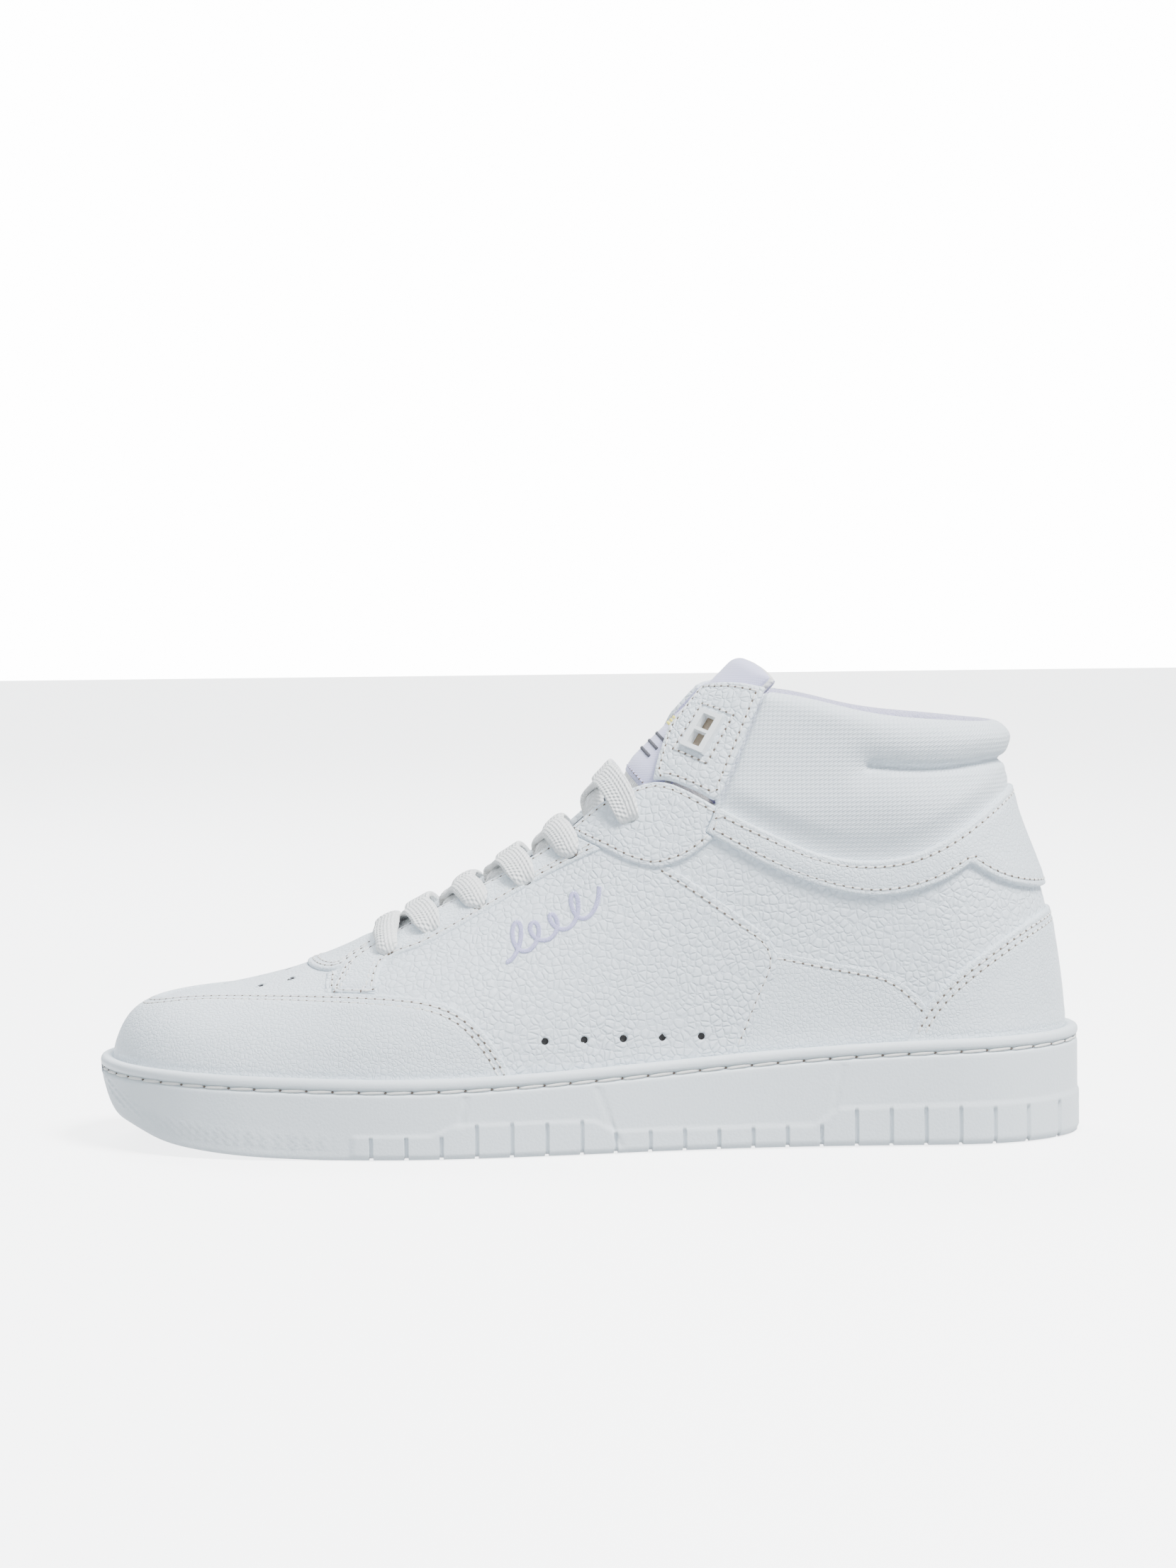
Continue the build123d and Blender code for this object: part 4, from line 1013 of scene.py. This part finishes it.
LEAN = math.radians(TONGUE_LEAN)
CROWN = outline([(-100, 40), (-100, FAR)], [(-100, FAR), (36, FAR)],
                [(36, 150), (41, 149.6), (46, 148.4), (50, 146.2), (53, 143.2), (54.8, 140), (55, 137)],
                [(55, 137), (40, 102)], [(40, 102), (24, 60)], [(24, 60), (-100, 40)])


TONGUE_ROWS = (0.0, 0.1, 0.4, 0.9, 1.6, 2.5, 3.8, 5.5)
TONGUE_FAT = 3.9


def along_tongue(p):
    """Distance up the tongue past its fold."""
    return (p[:, 0] - HINGE[0]) * math.cos(LEAN) + (p[:, 2] - HINGE[1]) * math.sin(LEAN)


def tongue_field(half_bottom, half_top):
    def field(p):
        broad = half_bottom + (half_top - half_bottom) * smooth((along_tongue(p) + 6) / 12)
        value = np.minimum(broad - np.abs(p[:, 1] - middle(p[:, 0])), inset(p, CROWN))
        return np.minimum(value, p[:, 0] - TONGUE_TOE - 2)
    return field


def tongue_top(p):
    """Height of the tongue's face over the last."""
    return -5.9 + 3.9 * smooth((along_tongue(p) + 9) / 16)


def tongue_height(p, value, side=1):
    """Height of the plump tongue's face (side 1) or back (side -1), at a distance from its edge."""
    centre = tongue_top(p) - TONGUE_FAT
    return centre + side * TONGUE_FAT * roll(value, 4.5) + uneven(p, 0.25, 15.0) * smooth(value / 6)


def tongue_pad():
    part = cut_out(tongue_field(25.5, 21.5), TONGUE_ROWS)
    p, _, value, *_ = part
    face_nodes = [f"tongue_{half}_{layer}" for half in ("lower", "upper") for layer in ("face", "foam")]
    back_nodes = ["tongue_lower_lining", "tongue_upper_lining"]
    for name, side, look, slot, nodes in (("tongue_face", 1, "tongue", "canvas", face_nodes),
                                          ("tongue_lining", -1, "terry", "terry", back_nodes)):
        obj = skin(name, part, tongue_height(p, value, side), MAT[look], None, nodes, side < 0)
        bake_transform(obj)


# The label's woven bars: each one's name, its rows by along_tongue, and its thread.
LABEL_BARS = [("dark", (9.5, 12.7, 15.9), "bar"), ("yellow", (20.6, 21.8, 23.0), "yellow_thread")]


def tongue_label():
    """Satin label sewn over the tongue's top, with plain woven bars."""
    whole = tongue_field(21.5, 21.5)
    part = cut_out(lambda q: np.minimum(whole(q) - 0.5, along_tongue(q) - 1.0), TONGUE_ROWS)
    p, tris, value, *_ = part
    high = tongue_height(p, whole(p)) + 0.45 * roll(value, 0.5) - 0.05
    skin("tongue_label_satin", part, high, MAT["label"], "tongue_top", ["tongue_label"])
    sew("tongue_label", contour(p, tris, along_tongue(p), 2.6), "tongue_top", lambda c: tongue_top(c) + 0.42,
        2.2, radius=0.3, thread="lilac_thread")
    for name, places, thread in LABEL_BARS:
        lines = [line for at in places for line in contour(p, tris, along_tongue(p), at)]
        sew(f"tongue_label_{name}", lines, "tongue_top", lambda c: tongue_top(c) + 0.36, 0.8, radius=0.62,
            keep=lambda c: np.abs(c[:, 1] - middle(c[:, 0])) < 12.5, thread=thread, holes=False)


def tongue_front():
    """Leather piece at the throat's toe end, with a double arc of stitches."""
    plan = throat(-0.2)
    part = panel("tongue_front_leather", lambda q: np.minimum(inset(q, plan, "plan"), -64.0 - q[:, 0]),
                 "smooth", 0.0, 1.0, (2.0,), ["tongue_base"])
    rows_of("tongue_front", part, [(at, lambda q: inset(q, plan, "plan")) for at in (2.0, 3.6)],
            1.0 - ROW_SINK, keep=lambda c: c[:, 0] < -66)


tongue_pad()
tongue_label()
tongue_front()

# ---------------------------------------------------------------- laces

LACE_W, UNDER, OVER, CROSSING = 8.8, -4.9, 2.6, 0.9


def lace_route(side):
    """Key places of one half of the lace: (x, y from the centre line, height, width)."""
    x1, y1 = EYELETS[0]
    first = 0.0 if side < 0 else 0.35
    route = [(x1, 0.0, OVER - first, LACE_W), (x1, side * 0.3 * y1, OVER + 0.3, LACE_W),
             (x1, side * 0.58 * y1, OVER + 0.9, LACE_W), (x1, side * 0.84 * y1, OVER + 0.7, LACE_W * 0.8)]
    for i, (x, y) in enumerate(EYELETS):
        route += [(x, side * (y + 0.4), OVER - 0.6, 6.4), (x, side * (y + 0.3), 0.2, 4.4),
                  (x, side * (y - 0.4), UNDER + 1.2, 3.8)]
        if i + 1 == len(EYELETS):
            route += [(x - 3, side * (y - 4), UNDER, 5.0), (x - 6, side * (y - 6), UNDER, 5.5),
                      (x - 9, side * (y - 7.5), UNDER, 5.5)]
            break
        nx, ny = EYELETS[i + 1]
        middle_height = (OVER + UNDER) / 2 + 0.6
        cross = middle_height + (CROSSING if side > 0 else -CROSSING)
        lift = 1.6 if i + 2 == len(EYELETS) else 0.7

        def along(share):
            """Place on the slant from this eyelet (0) to the next one across (1)."""
            return x + share * (nx - x), side * (y - share * (y + ny))

        route += [(*along(0.12), UNDER, LACE_W * 0.75), (*along(0.24), UNDER + 0.3, LACE_W * 0.9),
                  (*along(0.37), cross, LACE_W), ((x + nx) / 2, 0.0, cross + 0.4, LACE_W),
                  (*along(0.62), cross + 1.6, LACE_W), (*along(0.75), OVER + lift, LACE_W),
                  (*along(0.88), OVER + lift + 0.3, LACE_W), (*along(0.96), OVER + lift * 0.6, LACE_W * 0.95)]
        side = -side
    return route


def eased(s, c, t):
    """Smooth interpolation without overshoot (monotone slopes)."""
    d = np.diff(c) / np.diff(s)
    m = np.append(np.insert(0.5 * (d[1:] + d[:-1]), 0, d[0]), d[-1])
    i = np.clip(np.searchsorted(s, t) - 1, 0, len(s) - 2)
    h = s[i + 1] - s[i]
    r = (t - s[i]) / h
    return ((2 * r ** 3 - 3 * r ** 2 + 1) * c[i] + (r ** 3 - 2 * r ** 2 + r) * h * m[i]
            + (3 * r ** 2 - 2 * r ** 3) * c[i + 1] + (r ** 3 - r ** 2) * h * m[i + 1])


def lace(name, side):
    """Flat braid swept along its route, with rolled edges; it is gathered at the eyelets."""
    route = lace_route(side)
    places = np.array([(x, y) for x, y, *_ in route])
    on = on_top(places[:, 0], places[:, 1])
    out = normals(on)
    points = on[:, :3] + np.array([h for *_, h, _ in route])[:, None] * out
    s = np.append(0, np.cumsum(np.linalg.norm(np.diff(points, axis=0), axis=1)))
    t = np.arange(0, s[-1], 0.7)

    line, up = (np.column_stack([eased(s, c, t) for c in values.T]) for values in (points, out))
    width = eased(s, np.array([w for *_, w in route]), t)
    blur = (0.1, 0.2, 0.4, 0.2, 0.1)
    line = np.apply_along_axis(lambda c: np.convolve(np.pad(c, 2, "edge"), blur, "valid"), 0, line)
    ahead = unit(np.gradient(line, axis=0))
    across = np.cross(ahead, up)
    size = np.linalg.norm(across, axis=1)
    across /= np.maximum(size, 1e-6)[:, None]
    for k in range(1, len(across)):
        if size[k] < 0.45:
            across[k] = across[k - 1]
        elif across[k] @ across[k - 1] < 0:
            across[k] *= -1
    for _ in range(6):
        across[1:-1] = across[1:-1] * 0.5 + (across[:-2] + across[2:]) * 0.25
        across = unit(across)
    across = unit(across - (across * ahead).sum(1)[:, None] * ahead)
    top = np.cross(across, ahead)
    n = 20
    turn = np.linspace(0, 2 * np.pi, n, endpoint=False)
    shape_u = np.sign(np.cos(turn)) * np.abs(np.cos(turn)) ** 0.75
    shape_v = np.sign(np.sin(turn)) * np.abs(np.sin(turn)) ** 0.8
    thick = np.interp(width, [3.8, 6.5, 8.8], [1.6, 1.35, 1.2])
    cup = np.interp(width, [4, 8.8], [0.9, 0.5])
    wave = 1 + 0.06 * np.sin(t * 2 * np.pi / 2.1)
    u = shape_u[None] * width[:, None] / 2
    v = shape_v[None] * (thick * wave)[:, None] - (shape_u[None] ** 2) * cup[:, None]
    verts = line[:, None] + u[..., None] * across[:, None] + v[..., None] * top[:, None]
    faces = tube_faces(len(t), n).tolist()
    faces += [list(range(n))[::-1], list(range((len(t) - 1) * n, len(t) * n))]
    lay = np.column_stack([u.ravel(), np.repeat(t, n)])
    make(name, verts.reshape(-1, 3), faces, MAT["lace"], "shoe", lay, [f"{name}_start"])


lace("lace_lateral", -1)
lace("lace_medial", 1)

# ---------------------------------------------------------------- sole

SLOTS = ([(-66 + 10.4 * i, 6.2 if i < 3 else 9.7) for i in range(7)]
         + [(6.5 + 10.3 * i, 6.0) for i in range(7)] + [(78.8 + 10.4 * i, 11.0) for i in range(7)])
SLOT_HALF, SLOT_IN, TREAD = 0.6, 1.3, 2.3
LEDGE = [(-150, 9), (-72, 7.5), (-48, 7.6), (-41, 10.6), (0, 10.6), (6, 7.2), (66, 7.2), (74, 12.2),
         (150, 13.2)]
PANEL_LINES = [[(-37.5, 19.8), (-39.5, 9.5)], [(1, 20.4), (8, 2)], [(75, 26), (72, 11), (68, 2)]]


def sole_half(x):
    toe = np.clip((TOE_X + TOE_ROUND - x) / TOE_ROUND, 0, 1)
    heel = np.clip((x - HEEL_X + HEEL_ROUND) / HEEL_ROUND, 0, 1)
    return half_width(x) * np.sqrt(np.maximum(1 - toe ** 2.3, 0) * np.maximum(1 - heel ** 2.3, 0))


def stations():
    """x of the sole's columns: even steps, closer at the round ends and at the slots' edges."""
    xs = list(np.arange(-104, 118, 1.0))
    turn = np.linspace(0, np.pi / 2, 80)
    xs += list(TOE_X + 46 * (1 - np.cos(turn))) + list(HEEL_X - 32 * (1 - np.cos(turn)))
    for x, _ in SLOTS:
        xs = [v for v in xs if abs(v - x) > 1.0]
        edges = (SLOT_HALF + 0.22, SLOT_HALF + 0.02, SLOT_HALF - 0.06)
        xs += [x + s * w for s in (-1, 1) for w in edges] + [x]
    return np.array(sorted(set(np.round(xs, 3))))


# The wall from the lip's inner edge to below the stitch groove: (outwards, down from the lip's top).
LIP_PROFILE = [(-4.2, 2.2), (-3.2, 0.35), (-2.4, 0.08), (-1.7, 0.0), (-0.9, 0.12), (-0.35, 0.42), (0.0, 0.95),
               (0.12, 1.5), (0.1, 2.2), (-0.1, 2.75), (-0.75, 3.15), (-1.15, 3.45), (-1.2, 4.1), (-0.75, 4.4),
               (-0.2, 4.65), (-0.03, 5.1)]


def cupsole():
    """Wall with rounded lip, stitch groove, tread band, panel lines and slots, and a flat bottom."""
    xs = stations()
    w = sole_half(xs)
    ring = np.vstack([np.column_stack([xs, middle(xs) - w]), np.column_stack([xs, middle(xs) + w])[-2:0:-1]])
    ahead = unit(np.roll(ring, -1, 0) - np.roll(ring, 1, 0))
    out = np.column_stack([ahead[:, 1], -ahead[:, 0]])
    x = ring[:, 0]
    top, low = lip_top(x), np.maximum(spring(x), 0.0)
    from_slots = np.abs(x[:, None] - [at for at, _ in SLOTS])
    reach = np.array([high for _, high in SLOTS])[from_slots.argmin(1)]
    in_slot = from_slots.min(1) < SLOT_HALF
    ledge = np.interp(x, *np.array(LEDGE).T)
    rows = [(push, top - drop) for push, drop in LIP_PROFILE]
    wall_top = top - LIP_PROFILE[-1][1]
    for share in np.linspace(0, 1, 34)[1:-1]:
        z = wall_top + share * (low + 0.9 - wall_top)
        push = 0.5 * smooth((ledge - z) / 0.7) * (x > -72)
        for line in map(np.array, PANEL_LINES):
            on = (z < line[0, 1]) & (z > line[-1, 1])
            push -= 0.5 * on * np.exp(-((x - np.interp(z, line[::-1, 1], line[::-1, 0])) / 0.6) ** 2)
        bumps = smooth((-70 - x) / 12) * smooth((z - low - 2.5) / 1.5) * smooth((low + 9.5 - z) / 3)
        push += 0.4 * bumps * np.maximum(np.sin(x * 2 * np.pi / 2.6) * np.sin(z * 2 * np.pi / 2.2), 0)
        rows.append((push - SLOT_IN * in_slot * (z < reach + 0.2), z))
    for push, lift in ((-0.08, 0.55), (-0.35, 0.2), (-0.9, 0.0)):
        rows.append((push - SLOT_IN * in_slot, low + lift + (TREAD * in_slot if lift < 0.3 else 0)))
    verts = [np.column_stack([ring + np.reshape(push, (-1, 1)) * out, z]) for push, z in rows]
    for share in (0.94, 0.85, 0.7, 0.45, 0.0):
        y = middle(x) + (ring[:, 1] - middle(x)) * share
        verts.append(np.column_stack([x, y, low + TREAD * in_slot]))
    faces = tube_faces(len(verts), len(ring), reverse=True)
    make("cupsole_rubber", np.vstack(verts), faces, MAT["rubber"], "shoe", nodes=["cupsole"])
    return ring, out


def sole_thread(ring, out):
    """Lockstitches lying in the groove under the lip."""
    closed = np.vstack([ring, ring[:1]])
    z = lip_top(closed[:, 0]) - 3.8
    push = np.vstack([out, out[:1]]) * -0.95
    line = np.column_stack([closed + push, z])
    mid, ahead = spaced(line, 7.8)
    flat = unit(np.column_stack([ahead[:, 1], -ahead[:, 0], np.zeros(len(ahead))]))
    slant = ahead + np.array([0, 0, 0.045])
    verts, tris = scatter(mid + 0.2 * flat, slant, flat, (3.75, 0.5, 0.62))
    make("sole_lockstitches", verts, tris, MAT["sole_thread"], "shoe",
         nodes=["sole_stitching"])
    # Painted shade: dark beads between the lockstitches stand for the shade in their needle holes.
    verts, tris = scatter(mid + 3.9 * ahead, ahead, flat, (0.45, 0.35, 0.3))
    make("sole_needle_holes", verts, tris, MAT["hole"], "shoe")


ring, ring_out = cupsole()
sole_thread(ring, ring_out)

# ---------------------------------------------------------------- embroidery on the outer quarter


def motif():
    """A plain looping line, satin-stitched in lilac, in place of any lettering."""
    t = np.linspace(0, 4.35 * 2 * np.pi, 520)
    base = np.column_stack([-26.5 + 25.5 * t / t[-1], 59.0 + 13.5 * t / t[-1]])
    tall = 4.0 + 1.2 * np.cos(t / 4.35)
    x = base[:, 0] + 2.7 * np.sin(t + 0.4) + 0.28 * tall * (1 - np.cos(t))
    z = base[:, 1] + tall * (1 - np.cos(t)) - 2.2
    on = on_side(x, z, -1)[:, :3]
    mid, ahead = spaced(on, 0.42)
    out = normals(mid)
    slant = unit(np.cross(out, ahead) + 0.35 * ahead)
    verts, tris = scatter(mid + (QUARTER_D + 0.1) * out, slant, out, (0.78, 0.27, 0.3))
    make("quarter_embroidery", verts, tris, MAT["lilac_thread"], "shoe")


motif()

# ---------------------------------------------------------------- CAD pieces that stay as they are
KEPT = {"foam_midsole": "foam", "lasting_board": "board", "sockliner": "terry", "upper_lining": "lining",
        "toe_puff": "foam", "heel_stiffener": "foam", "eyelet_frame_lateral": "plastic",
        "eyelet_frame_medial": "plastic"}
for node, material in KEPT.items():
    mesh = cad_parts[node].data
    mesh.materials.clear()
    mesh.materials.append(MAT[material])
    if material != "plastic":
        mesh.shade_smooth()

# ---------------------------------------------------------------- floor, light and camera
STAGE_SIZE = 14.0


def square(name, place, strength, color, roughness, specular):
    """A glowing square of the set."""
    look = Look(name)
    look.shader.inputs["Emission Color"].default_value = (1, 1, 1, 1)
    look.shader.inputs["Emission Strength"].default_value = strength
    s = STAGE_SIZE / 2
    mesh = bpy.data.meshes.new(name)
    mesh.from_pydata([(-s, -s, 0), (s, -s, 0), (s, s, 0), (-s, s, 0)], [], [(0, 1, 2, 3)])
    mesh.materials.append(look.finish(color, roughness, specular=specular))
    obj = bpy.data.objects.new(name, mesh)
    obj.location = place
    bpy.context.scene.collection.objects.link(obj)
    obj.visible_diffuse = False
    return obj


square("floor", (0, 0, -0.0002), 3.4, (0.93, 0.93, 0.935), 0.9, 0.1)


def area_light(name, place, target, size, power, color=(1, 1, 1)):
    light = bpy.data.lights.new(name, "AREA")
    light.shape, light.size, light.energy, light.color = "SQUARE", size, power, color
    obj = bpy.data.objects.new(name, light)
    obj.location = place
    obj.rotation_euler = (Vector(target) - Vector(place)).to_track_quat("-Z", "Y").to_euler()
    bpy.context.scene.collection.objects.link(obj)


area_light("key", (0.7, -0.7, 1.45), (0, 0, 0.06), 0.6, 72.0, (1.0, 0.995, 0.985))
area_light("fill", (-1.4, -1.0, 0.9), (0, 0, 0.06), 1.6, 6.0, (0.94, 0.97, 1.0))
area_light("rim", (-0.4, 1.1, 1.2), (0, 0, 0.08), 0.8, 22.0, (0.97, 0.98, 1.0))

backdrop = square("backdrop", (0, 4.0, 0), 14.0, (0.9, 0.9, 0.9), 1.0, 0.5)
backdrop.rotation_euler = (math.radians(90), 0, 0)
backdrop.visible_glossy = False

world = bpy.data.worlds.new("studio")
bpy.context.scene.world = world
world.use_nodes = True
world.node_tree.nodes["Background"].inputs[0].default_value = (0.87, 0.945, 1.0, 1)
world.node_tree.nodes["Background"].inputs[1].default_value = 1.0

DISTANCE, FOCUS = 1300.0, 6002.5       # mm; focal length in units of the 2212 high frame
AZIMUTH, ELEVATION, ROLL = (math.radians(angle) for angle in (-1.5, 3.5, 0.6))
TARGET = np.array([0.419, 0.0, 107.446])
back = np.array([math.sin(AZIMUTH) * math.cos(ELEVATION), -math.cos(AZIMUTH) * math.cos(ELEVATION),
                 math.sin(ELEVATION)])
right = np.array([math.cos(AZIMUTH), math.sin(AZIMUTH), 0.0])
up = np.cross(back, right)
right, up = right * math.cos(ROLL) - up * math.sin(ROLL), up * math.cos(ROLL) + right * math.sin(ROLL)
camera_data = bpy.data.cameras.new("camera")
SENSOR = 36.0
camera_data.lens = FOCUS / 2212 * SENSOR
camera_data.sensor_width = SENSOR
camera = bpy.data.objects.new("camera", camera_data)
bpy.context.scene.collection.objects.link(camera)
place = (TARGET + DISTANCE * back) * MM
rows = [[*row, p] for row, p in zip(np.column_stack([right, up, back]).tolist(), place)]
camera.matrix_world = Matrix(rows + [[0, 0, 0, 1]])
bpy.context.scene.camera = camera
